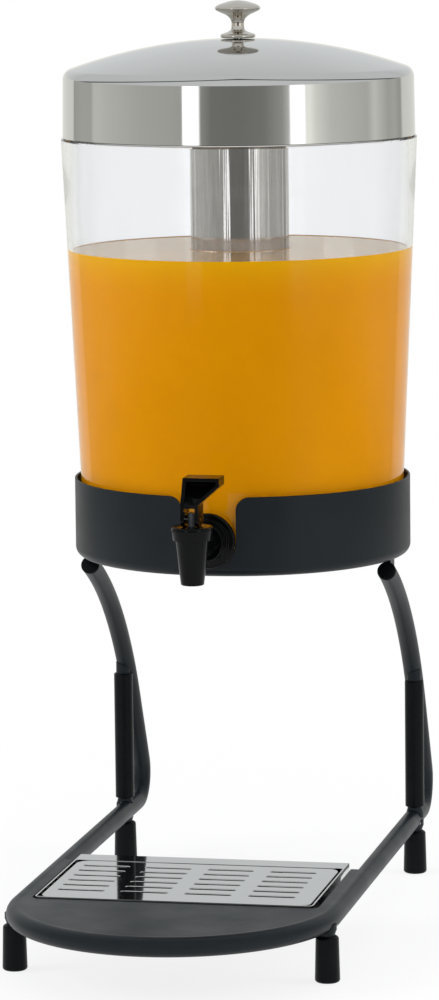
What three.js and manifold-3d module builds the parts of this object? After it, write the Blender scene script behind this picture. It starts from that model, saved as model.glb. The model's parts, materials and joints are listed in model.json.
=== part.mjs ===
// Juice dispenser: a clear container in a pan on a bent tube stand, with a self-closing tap and a drip tray.
// Millimetres, +Z up, the tap faces -Y. The origin is on the floor under the middle of the footprint.
// Inside the model y and x are counted from the container's axis, and a length "ahead" runs towards -Y.

import * as THREE from 'three';
import { mergeVertices } from 'three/addons/utils/BufferGeometryUtils.js';
import Module from 'manifold-3d';

const wasm = await Module();
wasm.setup();

// Fits shared by all pieces
const fit = 0.3;
const overrun = 4;

// Stand tube: a base loop whose sides turn up behind the posts and lean forward as legs
const tubeRadius = 6;
const tubeHeight = 36.1;
const legInset = 10.7;
const loopAhead = 212.4;
const legTopAhead = 18;
const legTopHeight = 214.5;
const legTopSlope = 24;
const legLowSlope = 62;
const legBendRadius = 230;
const heelBendRadius = 18;

// Leg end caps
const capRim = 1.6;
const capPlugRadius = 4.6;
const capPlugLength = 9;

// Upright rods, their sleeves and the rubber feet
const rodRadius = 4.7;
const rodOutset = 1.3;
const postToHeel = 26.7;
const postNeck = 2.2;
const postSleeveWall = 1.5;
const footBeyondLoop = 17.5;
const footRadius = 7.7;
const footHeight = 28;
const footSole = 5;
const footRound = 1.8;

// Cradle pan and its gussets
const panWall = 1.5;
const panClearance = 2.45;
const panDepth = 50;
const panCorner = 6;
const panRise = 2;
const notchCorner = 8.3;
const gussetWidth = 4;
const gussetLength = 14;

// Deck plate and tray straps
const deckSheet = 1.2;
const deckDrop = 0.3;
const deckLip = 13;
const lipClearance = 0.8;
const armShortfall = 12;
const cutoutCorner = 6;
const strapWidth = 16;
const strapSheet = 2;
const strapInset = 22;

// Drip tray and grille
const traySheet = 1;
const trayBeyondLoop = 5.6;
const trayLength = 121.5;
const trayLedge = 15;
const traySideGap = 2.5;
const trayFrontGap = 1;
const trayOffset = 0.6;
const trayProud = 1;
const trayCorner = 3;
const trayLedgeLip = 5;
const grilleSheet = 1.2;
const grilleRecess = 0.3;
const grilleSideGap = 1.8;
const grilleEndGap = 0.5;
const grilleCorner = 8;
const slotLength = 29.2;
const slotWidth = 4;
const slotColumnPitch = 39.4;
const slotRowPitch = 13.6;
const slotOffset = 3;
const slotSideMargin = 5;
const slotEndMargin = 13.9;

// Container
const baseRadius = 100.9;
const bodyFlare = 11.7;
const bodyHeight = 263.9;
const bodyWall = 3;
const floorWall = 4;
const baseCorner = 5;
const neckInset = 3.6;
const neckWall = 2.6;
const neckHeight = 17;
const neckRound = 1;
const stepDepth = 13;
const stepHeight = 8;
const locatorHeight = 5;
const locatorWall = 2.5;
const juiceBelowShoulder = 70.2;

// Ice tube
const iceRadius = 31.2;
const iceWall = 1;
const iceRise = 10;
const iceLip = 1.6;
const iceFloorRound = 4;

// Lid and knob
const lidSheet = 1;
const skirtClearance = 1.5;
const skirtTaper = 0.6;
const lidHeight = 61.5;
const domeRadius = 320;
const shoulderRadius = 7;
const knobHeight = 23.7;
const knobCapRadius = 14.3;
const knobCapUnder = 13.6;
const knobCapDepth = 6.3;
const knobCapEdge = 1.7;
const knobCapTurn = 50;
const knobCrown = 3.2;
const knobNeckRadius = 4;
const knobNeckLow = 7.5;
const knobNeckLength = 2;
const knobFootTurn = 70;
const knobBaseRadius = 11;
const knobBaseThickness = 1.5;
const screwRadius = 2.5;
const screwReach = 10;
const screwHeadRadius = 4.6;
const screwHeadHeight = 3;
const washerRadius = 8;
const washerThickness = 1.2;

// Tap: its shank runs along Y, its spout and stem along Z
const tapHeight = 21.3;
const spoutReach = 46.8;
const spoutTipRadius = 7.2;
const spoutTopRadius = 10.3;
const spoutDrop = 20.4;
const spoutTop = 7.4;
const spoutRound = 1;
const outletRadius = 4.2;
const seatDrop = 9.6;
const chamberRadius = 7;
const collarRadius = 9;
const barrelRadius = 8.2;
const shankRadius = 7.8;
const shankBoreRadius = 4.5;
const flangeRadius = 17.2;
const flangeThickness = 3.4;
const flangeHubRadius = 13.6;
const flangeHubThickness = 4;
const flangeStepRadius = 11.6;
const flangeStepThickness = 4;
const flangeRound = 1.2;
const sealRadius = 12;
const sealThickness = 1.8;
const nutAcross = 25;
const nutThickness = 8;
const shankTail = 4;
const bonnetRadius = 12.8;
const bonnetLowRadius = 11.9;
const bonnetHeight = 8.4;
const bonnetPlate = 3;
const bonnetBevel = 1.2;
const stemRadius = 2.4;
const stemAbove = 8.2;
const stemFlangeRadius = 5;
const stemFlangeThickness = 1.2;
const cupRadius = 6.2;
const cupHeight = 4.4;
const cupLip = 0.8;
const springWire = 0.55;
const springRadius = 4.1;
const springTurns = 5;
const leverWidth = 11;
const leverDepth = 16;
const leverWall = 2.1;
const leverHeight = 30.2;
const leverReach = 18.7;
const leverLean = 1.7;
const leverTipHeight = 5.4;
const leverNeckHeight = 13.2;
const leverSlotHeight = 11.4;
const leverHeel = 4;
const leverScoop = 10;
const pinRadius = 1;

// Facets round each kind of piece
const bigSides = 40;
const middleSides = 26;
const smallSides = 18;
const tubeSides = 12;
const arcSteps = 4;
const slotSteps = 2;
const loopSteps = 20;
const coilSteps = 9;
const wireSides = 5;

// Heights and radii that follow from the sizes above
const panBottom = legTopHeight + tubeRadius + panRise;
const panTop = panBottom + panDepth;
const containerBottom = panBottom + panWall + fit;
const shoulderHeight = containerBottom + bodyHeight;
const floorTop = containerBottom + floorWall;
const juiceTop = shoulderHeight - juiceBelowShoulder;
const rimRadius = baseRadius + bodyFlare;
const neckRadius = rimRadius - neckInset;
const panRadius = wallRadius(panTop) + panClearance + panWall;
const skirtRadius = neckRadius + skirtClearance + lidSheet;
const skirtTopRadius = skirtRadius - skirtTaper;
const lidBottom = shoulderHeight + fit;
const domeTop = lidBottom + lidHeight;
const tapAxis = containerBottom + tapHeight;
const spoutAhead = panRadius + spoutReach;

// Places in the base that follow from the sizes above
const tubeHalfSpan = panRadius - legInset;
const deckTop = tubeHeight + tubeRadius - deckDrop;
const deckLow = deckTop - deckSheet;
const lipLow = deckLow - deckLip;
const cutoutHalf = tubeHalfSpan - tubeRadius - lipClearance - deckSheet;
const trayHalf = cutoutHalf - traySideGap;
const trayRim = deckTop + trayProud;
const trayFrontAhead = loopAhead + trayBeyondLoop;
const trayRearAhead = trayFrontAhead - trayLength;
const basinRearAhead = trayRearAhead + trayLedge;
const deckRearAhead = trayRearAhead + armShortfall;

const radians = THREE.MathUtils.degToRad;
const dispenser = new THREE.Group();

// Geometry helpers

function solidOf(geometry) {
  const bare = geometry.clone();
  bare.deleteAttribute('normal');
  bare.deleteAttribute('uv');
  const merged = mergeVertices(bare);
  const place = merged.getAttribute('position').array;
  const corners = merged.getIndex().array;
  const triVerts = [];
  let volume = 0;
  for (let i = 0; i < corners.length; i += 3) {
    const [a, b, c] = [corners[i], corners[i + 1], corners[i + 2]];
    if (a === b || b === c || c === a) continue;
    triVerts.push(a, b, c);
    const [p, q, r] = [a, b, c].map((k) => new THREE.Vector3().fromArray(place, k * 3));
    volume += p.dot(q.cross(r));
  }
  if (volume < 0) triVerts.reverse();
  const mesh = new wasm.Mesh({
    numProp: 3,
    vertProperties: new Float32Array(place),
    triVerts: new Uint32Array(triVerts),
  });
  return new wasm.Manifold(mesh);
}

function geometryOf(solid) {
  const mesh = solid.getMesh();
  const geometry = new THREE.BufferGeometry();
  geometry.setAttribute('position', new THREE.BufferAttribute(mesh.vertProperties, 3));
  geometry.setIndex(new THREE.BufferAttribute(mesh.triVerts, 1));
  return geometry;
}

// A turned solid about Z, from a profile of [radius, height] that starts and ends on the axis or closes on itself
function turned(profile, sides = bigSides) {
  const points = profile.map(([radius, height]) => new THREE.Vector2(radius, height));
  return solidOf(new THREE.LatheGeometry(points, sides).rotateX(Math.PI / 2));
}

// A ring about Z between two radii and two heights
function ring(inner, outer, low, high, sides = smallSides) {
  return turned([[inner, low], [outer, low], [outer, high], [inner, high], [inner, low]], sides);
}

function rod(radius, low, high, sides = smallSides) {
  return turned([[0, low], [radius, low], [radius, high], [0, high]], sides);
}

// The same solid with its Z axis turned to point ahead, towards -Y
function ahead(solid) {
  return solid.rotate([90, 0, 0]);
}

function block(x0, x1, y0, y1, z0, z1) {
  const box = new THREE.BoxGeometry(x1 - x0, y1 - y0, z1 - z0);
  return solidOf(box.translate((x0 + x1) / 2, (y0 + y1) / 2, (z0 + z1) / 2));
}

// An outline in the XY plane, raised from one height to another
function plate(shape, low, high) {
  const options = { depth: high - low, bevelEnabled: false, curveSegments: arcSteps };
  return solidOf(new THREE.ExtrudeGeometry(shape, options).translate(0, 0, low));
}

// An outline drawn in the XZ plane, run along Y from near to far
function prismAlongY(shape, near, far) {
  return plate(shape, -far, -near).rotate([90, 0, 0]);
}

// An outline drawn in the YZ plane, run along X from left to right
function prismAlongX(shape, left, right) {
  return plate(shape, left, right).rotate([90, 0, 90]);
}

// Points on an arc in a profile, from one angle to another in degrees
function arcPoints(centreR, centreZ, radius, from, to, steps = arcSteps) {
  const points = [];
  for (let i = 0; i <= steps; i++) {
    const angle = radians(from + ((to - from) * i) / steps);
    points.push([centreR + radius * Math.cos(angle), centreZ + radius * Math.sin(angle)]);
  }
  return points;
}

function roundedRectangle(x0, x1, y0, y1, corner) {
  const shape = new THREE.Shape();
  shape.moveTo(x0 + corner, y0);
  shape.lineTo(x1 - corner, y0);
  shape.absarc(x1 - corner, y0 + corner, corner, -Math.PI / 2, 0);
  shape.lineTo(x1, y1 - corner);
  shape.absarc(x1 - corner, y1 - corner, corner, 0, Math.PI / 2);
  shape.lineTo(x0 + corner, y1);
  shape.absarc(x0 + corner, y1 - corner, corner, Math.PI / 2, Math.PI);
  shape.lineTo(x0, y0 + corner);
  shape.absarc(x0 + corner, y0 + corner, corner, Math.PI, 1.5 * Math.PI);
  return shape;
}

function outline(points) {
  return new THREE.Shape(points.map(([x, y]) => new THREE.Vector2(x, y)));
}

// Part of a circle in space: it starts at centre + radius * u and turns towards v
class SpaceArc extends THREE.Curve {
  constructor(centre, u, v, radius, angle) {
    super();
    Object.assign(this, { centre, u, v, radius, angle });
  }

  getPoint(t, target = new THREE.Vector3()) {
    const turn = t * this.angle;
    return target.copy(this.centre)
      .addScaledVector(this.u, this.radius * Math.cos(turn))
      .addScaledVector(this.v, this.radius * Math.sin(turn));
  }
}

// Several stretches run as one path, each with its own number of steps
class SteppedPath extends THREE.Curve {
  constructor(stretches) {
    super();
    this.stretches = stretches;
    this.steps = stretches.reduce((sum, stretch) => sum + stretch.steps, 0);
  }

  locate(u) {
    let left = u * this.steps;
    let index = 0;
    while (index < this.stretches.length - 1 && left > this.stretches[index].steps) {
      left -= this.stretches[index].steps;
      index += 1;
    }
    const stretch = this.stretches[index];
    return [stretch.curve, Math.min(left / stretch.steps, 1)];
  }

  getPoint(u, target = new THREE.Vector3()) {
    const [curve, t] = this.locate(u);
    return curve.getPoint(t, target);
  }

  getPointAt(u, target) {
    return this.getPoint(u, target);
  }

  getTangentAt(u, target = new THREE.Vector3()) {
    const [curve, t] = this.locate(u);
    return target.copy(curve.getTangent(t));
  }
}

function tubeAlong(path, steps, radius, sides) {
  const section = new THREE.Shape();
  section.absarc(0, 0, radius, 0, 2 * Math.PI);
  const round = outline(section.getSpacedPoints(sides).slice(0, sides).map((p) => [p.x, p.y]));
  return solidOf(new THREE.ExtrudeGeometry(round, { steps, bevelEnabled: false, extrudePath: path }));
}

// Adds a named mesh with its own material to a group
function add(group, name, solid, colour, roughness, metalness, opacity = 1) {
  const material = new THREE.MeshStandardMaterial({ color: colour, roughness, metalness });
  if (opacity < 1) {
    material.transparent = true;
    material.opacity = opacity;
  }
  const mesh = new THREE.Mesh(geometryOf(solid), material);
  mesh.name = name;
  group.add(mesh);
  return mesh;
}

const paintBlack = [0x2c3034, 0.45, 0.3];
const rubberBlack = [0x16191b, 0.6, 0];
const glossBlack = [0x0c0c0d, 0.15, 0];
const steel = [0xc9cccc, 0.15, 1];
const satinSteel = [0x9fa3a3, 0.35, 1];
const silicone = [0xd8d8d4, 0.6, 0];

const sides = [['left', -1], ['right', 1]];

// Stand: the frame tube's path, from the left leg's top to the right leg's top

// The leg's centre line in its side view: how far behind the axis and how high it lies where it slopes this much
function legPoint(slope) {
  const run = Math.sin(radians(slope)) - Math.sin(radians(legTopSlope));
  const fall = Math.cos(radians(legTopSlope)) - Math.cos(radians(slope));
  return [legBendRadius * run - legTopAhead, legTopHeight - legBendRadius * fall];
}

// The slope of the leg's bend, and below the bend that of its straight stretch, this far behind the axis
function legSlope(behind) {
  const sine = (behind + legTopAhead) / legBendRadius + Math.sin(radians(legTopSlope));
  return Math.min(THREE.MathUtils.radToDeg(Math.asin(Math.min(sine, 1))), legLowSlope);
}

// The leg's height above the floor, this far behind the container's axis
function legHeight(behind) {
  const [bendBehind, bendHeight] = legPoint(legSlope(behind));
  return bendHeight - Math.max(behind - bendBehind, 0) * Math.tan(radians(legLowSlope));
}

// Where the leg's straight stretch ends and where the heel's bend has its centre, both as [behind, height]
function heelPlaces() {
  const low = radians(legLowSlope);
  const [bendBehind, bendHeight] = legPoint(legLowSlope);
  const heelHeight = tubeHeight + heelBendRadius;
  const straightEnd = heelHeight + heelBendRadius * Math.cos(low);
  const straightBehind = bendBehind + (bendHeight - straightEnd) / Math.tan(low);
  const heelBehind = straightBehind - heelBendRadius * Math.sin(low);
  return [[straightBehind, straightEnd], [heelBehind, heelHeight]];
}

const postBehind = heelPlaces()[1][0] - postToHeel;

function legStretches(side) {
  const x = side * tubeHalfSpan;
  const low = radians(legLowSlope);
  const at = (behind, height) => new THREE.Vector3(x, behind, height);
  const [bendBehind, bendHeight] = legPoint(legLowSlope);
  const [[straightBehind, straightEnd], [heelBehind, heelHeight]] = heelPlaces();
  const top = radians(legTopSlope);
  const bendCentre = at(
    -legTopAhead - legBendRadius * Math.sin(top),
    legTopHeight - legBendRadius * Math.cos(top),
  );
  const upwards = new THREE.Vector3(0, Math.sin(top), Math.cos(top));
  const rearwards = new THREE.Vector3(0, Math.cos(top), -Math.sin(top));
  const heelStart = new THREE.Vector3(0, Math.sin(low), Math.cos(low));
  const heelTurn = new THREE.Vector3(0, Math.cos(low), -Math.sin(low));
  return [
    { curve: new SpaceArc(bendCentre, upwards, rearwards, legBendRadius, low - top), steps: 6 },
    { curve: new THREE.LineCurve3(at(bendBehind, bendHeight), at(straightBehind, straightEnd)), steps: 1 },
    { curve: new SpaceArc(at(heelBehind, heelHeight), heelStart, heelTurn, heelBendRadius, Math.PI - low), steps: 5 },
    { curve: new THREE.LineCurve3(at(heelBehind, tubeHeight), at(-loopAhead, tubeHeight)), steps: 1 },
  ];
}

class Reversed extends THREE.Curve {
  constructor(curve) {
    super();
    this.curve = curve;
  }

  getPoint(t, target) {
    return this.curve.getPoint(1 - t, target);
  }
}

function framePath() {
  const leftward = new THREE.Vector3(-1, 0, 0);
  const forward = new THREE.Vector3(0, -1, 0);
  const frontCentre = new THREE.Vector3(0, -loopAhead, tubeHeight);
  const front = { curve: new SpaceArc(frontCentre, leftward, forward, tubeHalfSpan, Math.PI), steps: loopSteps };
  const back = legStretches(1).reverse().map(({ curve, steps }) => ({ curve: new Reversed(curve), steps }));
  return new SteppedPath([...legStretches(-1), front, ...back]);
}

const path = framePath();
const fatTube = tubeAlong(path, path.steps, tubeRadius + fit, tubeSides);

// A piece turned about Z is laid along the leg's end, pointing out of the tube
function alongLegEnd(solid, side) {
  return solid.rotate([90 - legTopSlope, 0, 0]).translate([side * tubeHalfSpan, -legTopAhead, legTopHeight]);
}

function addFrameTube(group) {
  let tube = tubeAlong(path, path.steps, tubeRadius, tubeSides);
  for (const [, side] of sides) {
    const socket = rod(capPlugRadius + fit, -capPlugLength - fit, overrun);
    tube = tube.subtract(alongLegEnd(socket, side));
  }
  add(group, 'frame_tube', tube, ...paintBlack);
}

function addLegCaps(group) {
  for (const [name, side] of sides) {
    const profile = [
      [0, -capPlugLength], [capPlugRadius, -capPlugLength], [capPlugRadius, fit], [tubeRadius, fit],
      [tubeRadius, fit + capRim / 2], [tubeRadius - capRim / 2, fit + capRim], [0, fit + capRim],
    ];
    add(group, `leg_cap_${name}`, alongLegEnd(turned(profile, smallSides), side), ...rubberBlack);
  }
}

// The sleeve ends where the leg's underside crosses the rod's centre line
function addPosts(group) {
  const legAbove = legHeight(postBehind);
  const sleeveLow = tubeHeight + tubeRadius + postNeck;
  const sleeveHigh = legAbove - tubeRadius / Math.cos(radians(legSlope(postBehind)));
  for (const [name, side] of sides) {
    const place = [side * (tubeHalfSpan + rodOutset), postBehind, 0];
    const bar = rod(rodRadius, tubeHeight, legAbove).translate(place).subtract(fatTube);
    const inner = rodRadius + fit;
    const sleeve = ring(inner, inner + postSleeveWall - fit, sleeveLow, sleeveHigh);
    add(group, `post_rod_${name}`, bar, ...paintBlack);
    add(group, `post_sleeve_${name}`, sleeve.translate(place).subtract(fatTube), ...rubberBlack);
  }
}

function footPlaces() {
  const front = Math.sqrt(tubeHalfSpan ** 2 - footBeyondLoop ** 2) + rodOutset;
  const rear = tubeHalfSpan + rodOutset;
  const places = [['front', front, -loopAhead - footBeyondLoop], ['rear', rear, postBehind]];
  return places.flatMap(([end, half, y]) => sides.map(([name, side]) => [`${end}_${name}`, side * half, y]));
}

function addFeet(group) {
  const low = arcPoints(footRadius - footRound, footRound, footRound, -90, 0, 2);
  const high = arcPoints(footRadius - footRound, footHeight - footRound, footRound, 0, 90, 2);
  const bore = rodRadius + fit;
  const profile = [[0, 0], ...low, ...high, [bore, footHeight], [bore, footSole], [0, footSole]];
  for (const [name, x, y] of footPlaces()) {
    const bar = rod(rodRadius, footSole + fit, tubeHeight).translate([x, y, 0]).subtract(fatTube);
    add(group, `foot_rod_${name}`, bar, ...paintBlack);
    add(group, `foot_boot_${name}`, turned(profile, smallSides), ...rubberBlack).position.set(x, y, 0);
  }
}

// Stand: pan, gussets, deck and straps

function notchCutter() {
  const shape = new THREE.Shape();
  const top = panTop;
  const notchHalf = flangeRadius;
  const out = notchHalf + notchCorner;
  shape.moveTo(-out, top + overrun);
  shape.lineTo(-out, top);
  shape.absarc(-out, top - notchCorner, notchCorner, Math.PI / 2, 0, true);
  shape.lineTo(-notchHalf, tapAxis);
  shape.absarc(0, tapAxis, notchHalf, Math.PI, 2 * Math.PI);
  shape.lineTo(notchHalf, top - notchCorner);
  shape.absarc(out, top - notchCorner, notchCorner, Math.PI, Math.PI / 2, true);
  shape.lineTo(out, top + overrun);
  return prismAlongY(shape, -panRadius - overrun, -panRadius / 2);
}

function addPan(group) {
  const inner = panCorner - panWall;
  const profile = [
    [0, panBottom],
    ...arcPoints(panRadius - panCorner, panBottom + panCorner, panCorner, -90, 0),
    [panRadius, panTop],
    [panRadius - panWall, panTop],
    ...arcPoints(panRadius - panCorner, panBottom + panCorner, inner, 0, -90),
    [0, panBottom + panWall],
  ];
  add(group, 'cradle_pan', turned(profile).subtract(notchCutter()), ...paintBlack);
}

// A web that fills the space between a leg's sloping end and the pan's underside
function addGussets(group) {
  const start = -legTopAhead + tubeRadius * Math.sin(radians(legTopSlope)) + fit;
  const lower = [];
  for (let i = 0; i <= arcSteps; i++) {
    const behind = start + (gussetLength * i) / arcSteps;
    lower.push([behind, legHeight(behind)]);
  }
  const web = outline([...lower, [start + gussetLength, panBottom - fit], [start, panBottom - fit]]);
  for (const [name, side] of sides) {
    const x = side * tubeHalfSpan;
    const solid = prismAlongX(web, x - gussetWidth / 2, x + gussetWidth / 2).subtract(fatTube);
    add(group, `pan_gusset_${name}`, solid, ...paintBlack);
  }
}

function addDeck(group) {
  const reach = tubeHalfSpan;
  const cutFront = -trayFrontAhead - trayFrontGap;
  const rear = -deckRearAhead;
  const shape = new THREE.Shape();
  shape.moveTo(-reach, rear);
  shape.lineTo(-reach, -loopAhead);
  shape.absarc(0, -loopAhead, reach, Math.PI, 2 * Math.PI);
  shape.lineTo(reach, rear);
  const halfDisc = { depth: deckSheet, bevelEnabled: false, curveSegments: loopSteps };
  const sheet = solidOf(new THREE.ExtrudeGeometry(shape, halfDisc).translate(0, 0, deckLow)).subtract(fatTube);
  const lipHalf = cutoutHalf + deckSheet;
  const wellRear = rear + cutoutCorner + overrun;
  const well = roundedRectangle(-lipHalf, lipHalf, cutFront - deckSheet, wellRear, cutoutCorner);
  const opening = roundedRectangle(-cutoutHalf, cutoutHalf, cutFront, wellRear + overrun, cutoutCorner - deckSheet);
  const behind = block(-reach, reach, rear, wellRear + 2 * overrun, lipLow - overrun, deckTop + overrun);
  const deck = sheet.add(plate(well, lipLow, deckLow)).subtract(plate(opening, lipLow - overrun, deckTop + overrun));
  add(group, 'deck_plate', deck.subtract(behind), ...paintBlack);
}

function addStraps(group) {
  const half = cutoutHalf + deckSheet;
  const high = lipLow - fit;
  const places = [['front', -trayFrontAhead + strapInset], ['rear', -basinRearAhead - strapInset]];
  for (const [name, y] of places) {
    const bar = block(-half, half, y - strapWidth / 2, y + strapWidth / 2, high - strapSheet, high);
    add(group, `tray_strap_${name}`, bar, ...paintBlack);
  }
}

// Drip tray and grille

function addTray(group) {
  const low = lipLow;
  const basinRear = -basinRearAhead;
  const front = -trayFrontAhead;
  const rear = -trayRearAhead;
  const outer = roundedRectangle(-trayHalf, trayHalf, front, basinRear, trayCorner);
  const inner = roundedRectangle(-trayHalf + traySheet, trayHalf - traySheet, front + traySheet,
    basinRear - traySheet, trayCorner - traySheet);
  const ledge = block(-trayHalf, trayHalf, basinRear - trayCorner, rear, trayRim - trayLedgeLip, trayRim);
  const under = block(-trayHalf + traySheet, trayHalf - traySheet, basinRear - trayCorner - overrun,
    rear - traySheet, trayRim - trayLedgeLip - overrun, trayRim - traySheet);
  const basin = plate(outer, low, trayRim);
  const tray = ledge.subtract(under).add(basin).subtract(plate(inner, low + traySheet, trayRim + overrun));
  add(group, 'drip_tray', tray.translate([-trayOffset, 0, 0]), ...steel);
}

// How many slots with this pitch fit in a length, where the first takes some of it
function slotCount(length, first, pitch) {
  return Math.max(Math.floor((length - first) / pitch) + 1, 0);
}

function addGrille(group) {
  const high = trayRim - grilleRecess;
  const half = trayHalf - traySheet - grilleSideGap;
  const front = -trayFrontAhead + traySheet + grilleEndGap;
  const rear = -basinRearAhead - traySheet - grilleEndGap;
  const columns = slotCount(2 * half - 2 * slotSideMargin, slotLength, slotColumnPitch);
  const rows = slotCount(rear - front, 2 * slotEndMargin, slotRowPitch);
  const sheet = roundedRectangle(-half, half, front, rear, grilleCorner);
  const slotHalf = (slotLength - slotWidth) / 2;
  for (let column = 0; column < columns; column++) {
    const x = (column - (columns - 1) / 2) * slotColumnPitch - slotOffset;
    for (let row = 0; row < rows; row++) {
      const y = rear - slotEndMargin - row * slotRowPitch;
      const slot = new THREE.Path();
      slot.absarc(x + slotHalf, y, slotWidth / 2, -Math.PI / 2, Math.PI / 2);
      slot.absarc(x - slotHalf, y, slotWidth / 2, Math.PI / 2, 1.5 * Math.PI);
      sheet.holes.push(slot);
    }
  }
  const options = { depth: grilleSheet, bevelEnabled: false, curveSegments: slotSteps };
  let grille = solidOf(new THREE.ExtrudeGeometry(sheet, options).translate(0, 0, high - grilleSheet));
  const floor = lipLow + traySheet + fit;
  const foldHalf = half - grilleCorner;
  for (const y of [front, rear - grilleSheet]) {
    grille = grille.add(block(-foldHalf, foldHalf, y, y + grilleSheet, floor, high - grilleSheet / 2));
  }
  add(group, 'drip_grille', grille.translate([-trayOffset, 0, 0]), ...steel);
}

// Container, juice and ice tube

function wallRadius(height) {
  const share = (height - containerBottom) / bodyHeight;
  return baseRadius + (rimRadius - baseRadius) * share;
}

// The container's inner surface from the neck down to the floor, drawn in by a gap
function innerWall(gap) {
  const stepHigh = shoulderHeight - stepDepth;
  const stepLow = stepHigh - stepHeight;
  const floor = floorTop + gap;
  return [
    [neckRadius - neckWall - gap, stepHigh],
    [wallRadius(stepLow) - bodyWall - gap, stepLow],
    ...arcPoints(wallRadius(floor) - bodyWall - baseCorner - gap, floor + baseCorner, baseCorner, 0, -90, 3),
  ];
}

function addContainer(group) {
  const neckTop = shoulderHeight + neckHeight;
  const neckInner = neckRadius - neckWall;
  const locatorInner = iceRadius + 2 * fit;
  const profile = [
    [0, containerBottom],
    ...arcPoints(baseRadius - baseCorner, containerBottom + baseCorner, baseCorner, -90, 0, 3),
    [rimRadius, shoulderHeight],
    [neckRadius, shoulderHeight],
    [neckRadius, neckTop - neckRound],
    [neckRadius - neckRound, neckTop],
    [neckInner + neckRound, neckTop],
    [neckInner, neckTop - neckRound],
    ...innerWall(0),
    [locatorInner + locatorWall, floorTop],
    [locatorInner + locatorWall, floorTop + locatorHeight],
    [locatorInner, floorTop + locatorHeight],
    [locatorInner, floorTop],
    [0, floorTop],
  ];
  const tapHole = ahead(rod(shankRadius + fit, 0, panRadius + overrun)).translate([0, 0, tapAxis]);
  add(group, 'container', turned(profile).subtract(tapHole), 0xe8e9ec, 0.08, 0, 0.25);
}

// The space that the tap's inner seal, nut and shank take, in the juice
function tapSpace() {
  const tail = innerSealBack() - nutThickness - shankTail - 3 * fit;
  const nutSpace = ahead(rod(nutAcross / Math.sqrt(3) + fit, innerSealBack() - nutThickness - 2 * fit, panRadius));
  const shankSpace = ahead(rod(shankRadius + fit, tail, panRadius));
  return nutSpace.add(shankSpace).translate([0, 0, tapAxis]);
}

function addJuice(group) {
  const wall = innerWall(fit).slice(2);
  const core = iceRadius + fit;
  const locatorOuter = iceRadius + locatorWall + 3 * fit;
  const ringTop = floorTop + locatorHeight + fit;
  const profile = [
    [core, juiceTop],
    [wallRadius(juiceTop) - bodyWall - fit, juiceTop],
    ...wall,
    [locatorOuter, floorTop + fit],
    [locatorOuter, ringTop],
    [core, ringTop],
    [core, juiceTop],
  ];
  add(group, 'juice', turned(profile).subtract(tapSpace()), 0xe08a0a, 0.2, 0);
}

function addIceTube(group) {
  const low = floorTop + fit;
  const high = shoulderHeight + iceRise;
  const inner = iceRadius - iceWall;
  const round = iceFloorRound;
  const profile = [
    [0, low],
    ...arcPoints(iceRadius - round, low + round, round, -90, 0, 3),
    [iceRadius, high - iceLip],
    [iceRadius + iceLip, high - iceLip],
    [iceRadius + iceLip, high],
    [inner, high],
    ...arcPoints(iceRadius - round, low + round, round - iceWall, 0, -90, 3),
    [0, low + iceWall],
  ];
  add(group, 'ice_tube', turned(profile, middleSides), ...satinSteel);
}

// Lid and knob

// The lid's surface from its apex to the skirt's edge, inside the outer face by a sheet thickness
function lidSurface(inset) {
  const tilt = Math.asin((skirtTopRadius - shoulderRadius) / (domeRadius - shoulderRadius));
  const domeCentre = domeTop - domeRadius;
  const cornerR = skirtTopRadius - shoulderRadius;
  const cornerZ = domeCentre + (domeRadius - shoulderRadius) * Math.cos(tilt);
  const tiltDegrees = 90 - THREE.MathUtils.radToDeg(tilt);
  const dome = arcPoints(0, domeCentre, domeRadius - inset, 90, tiltDegrees);
  const corner = arcPoints(cornerR, cornerZ, shoulderRadius - inset, tiltDegrees, 0).slice(1);
  return [...dome, ...corner, [skirtRadius - inset, lidBottom]];
}

function addLid(group) {
  const hole = screwRadius + fit;
  const cut = rod(hole, domeTop - overrun, domeTop + overrun);
  const outer = lidSurface(0);
  const inner = lidSurface(lidSheet).reverse();
  const profile = [...outer, ...inner];
  profile[0][0] = 0;
  profile[profile.length - 1][0] = 0;
  add(group, 'lid_shell', turned(profile).subtract(cut), ...steel);
}

// A hollow curve in a profile, from a point where it runs upright, through this many degrees, to one farther out
function hollowCurve([neckR, neckZ], [wideR, wideZ], degrees) {
  const turn = radians(degrees);
  const points = [];
  for (let i = 0; i <= arcSteps; i++) {
    const angle = (turn * i) / arcSteps;
    const outShare = (1 - Math.cos(angle)) / (1 - Math.cos(turn));
    const upShare = Math.sin(angle) / Math.sin(turn);
    points.push([neckR + (wideR - neckR) * outShare, neckZ + (wideZ - neckZ) * upShare]);
  }
  return points;
}

function addKnob(group) {
  const low = domeTop + fit;
  const high = low + knobHeight;
  const neck = low + knobNeckLow;
  const rim = high - knobCrown - knobCapEdge;
  const crownRadius = knobCapRadius - knobCapEdge;
  const bore = screwRadius + fit;
  const baseEdge = knobBaseRadius - knobBaseThickness / 2;
  const profile = [
    [bore, low],
    [baseEdge, low],
    [knobBaseRadius, low + knobBaseThickness / 2],
    ...hollowCurve([knobNeckRadius, neck], [baseEdge, low + knobBaseThickness], knobFootTurn).reverse(),
    ...hollowCurve([knobNeckRadius, neck + knobNeckLength], [knobCapUnder, high - knobCapDepth], knobCapTurn),
    [knobCapRadius, rim],
    [knobCapRadius - knobCapEdge / 2, rim + knobCapEdge],
    [crownRadius / 2, high - knobCrown / 4],
    [0, high],
    [0, low + screwReach],
    [bore, low + screwReach],
    [bore, low],
  ];
  add(group, 'lid_knob', turned(profile, smallSides), ...steel);
}

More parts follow.
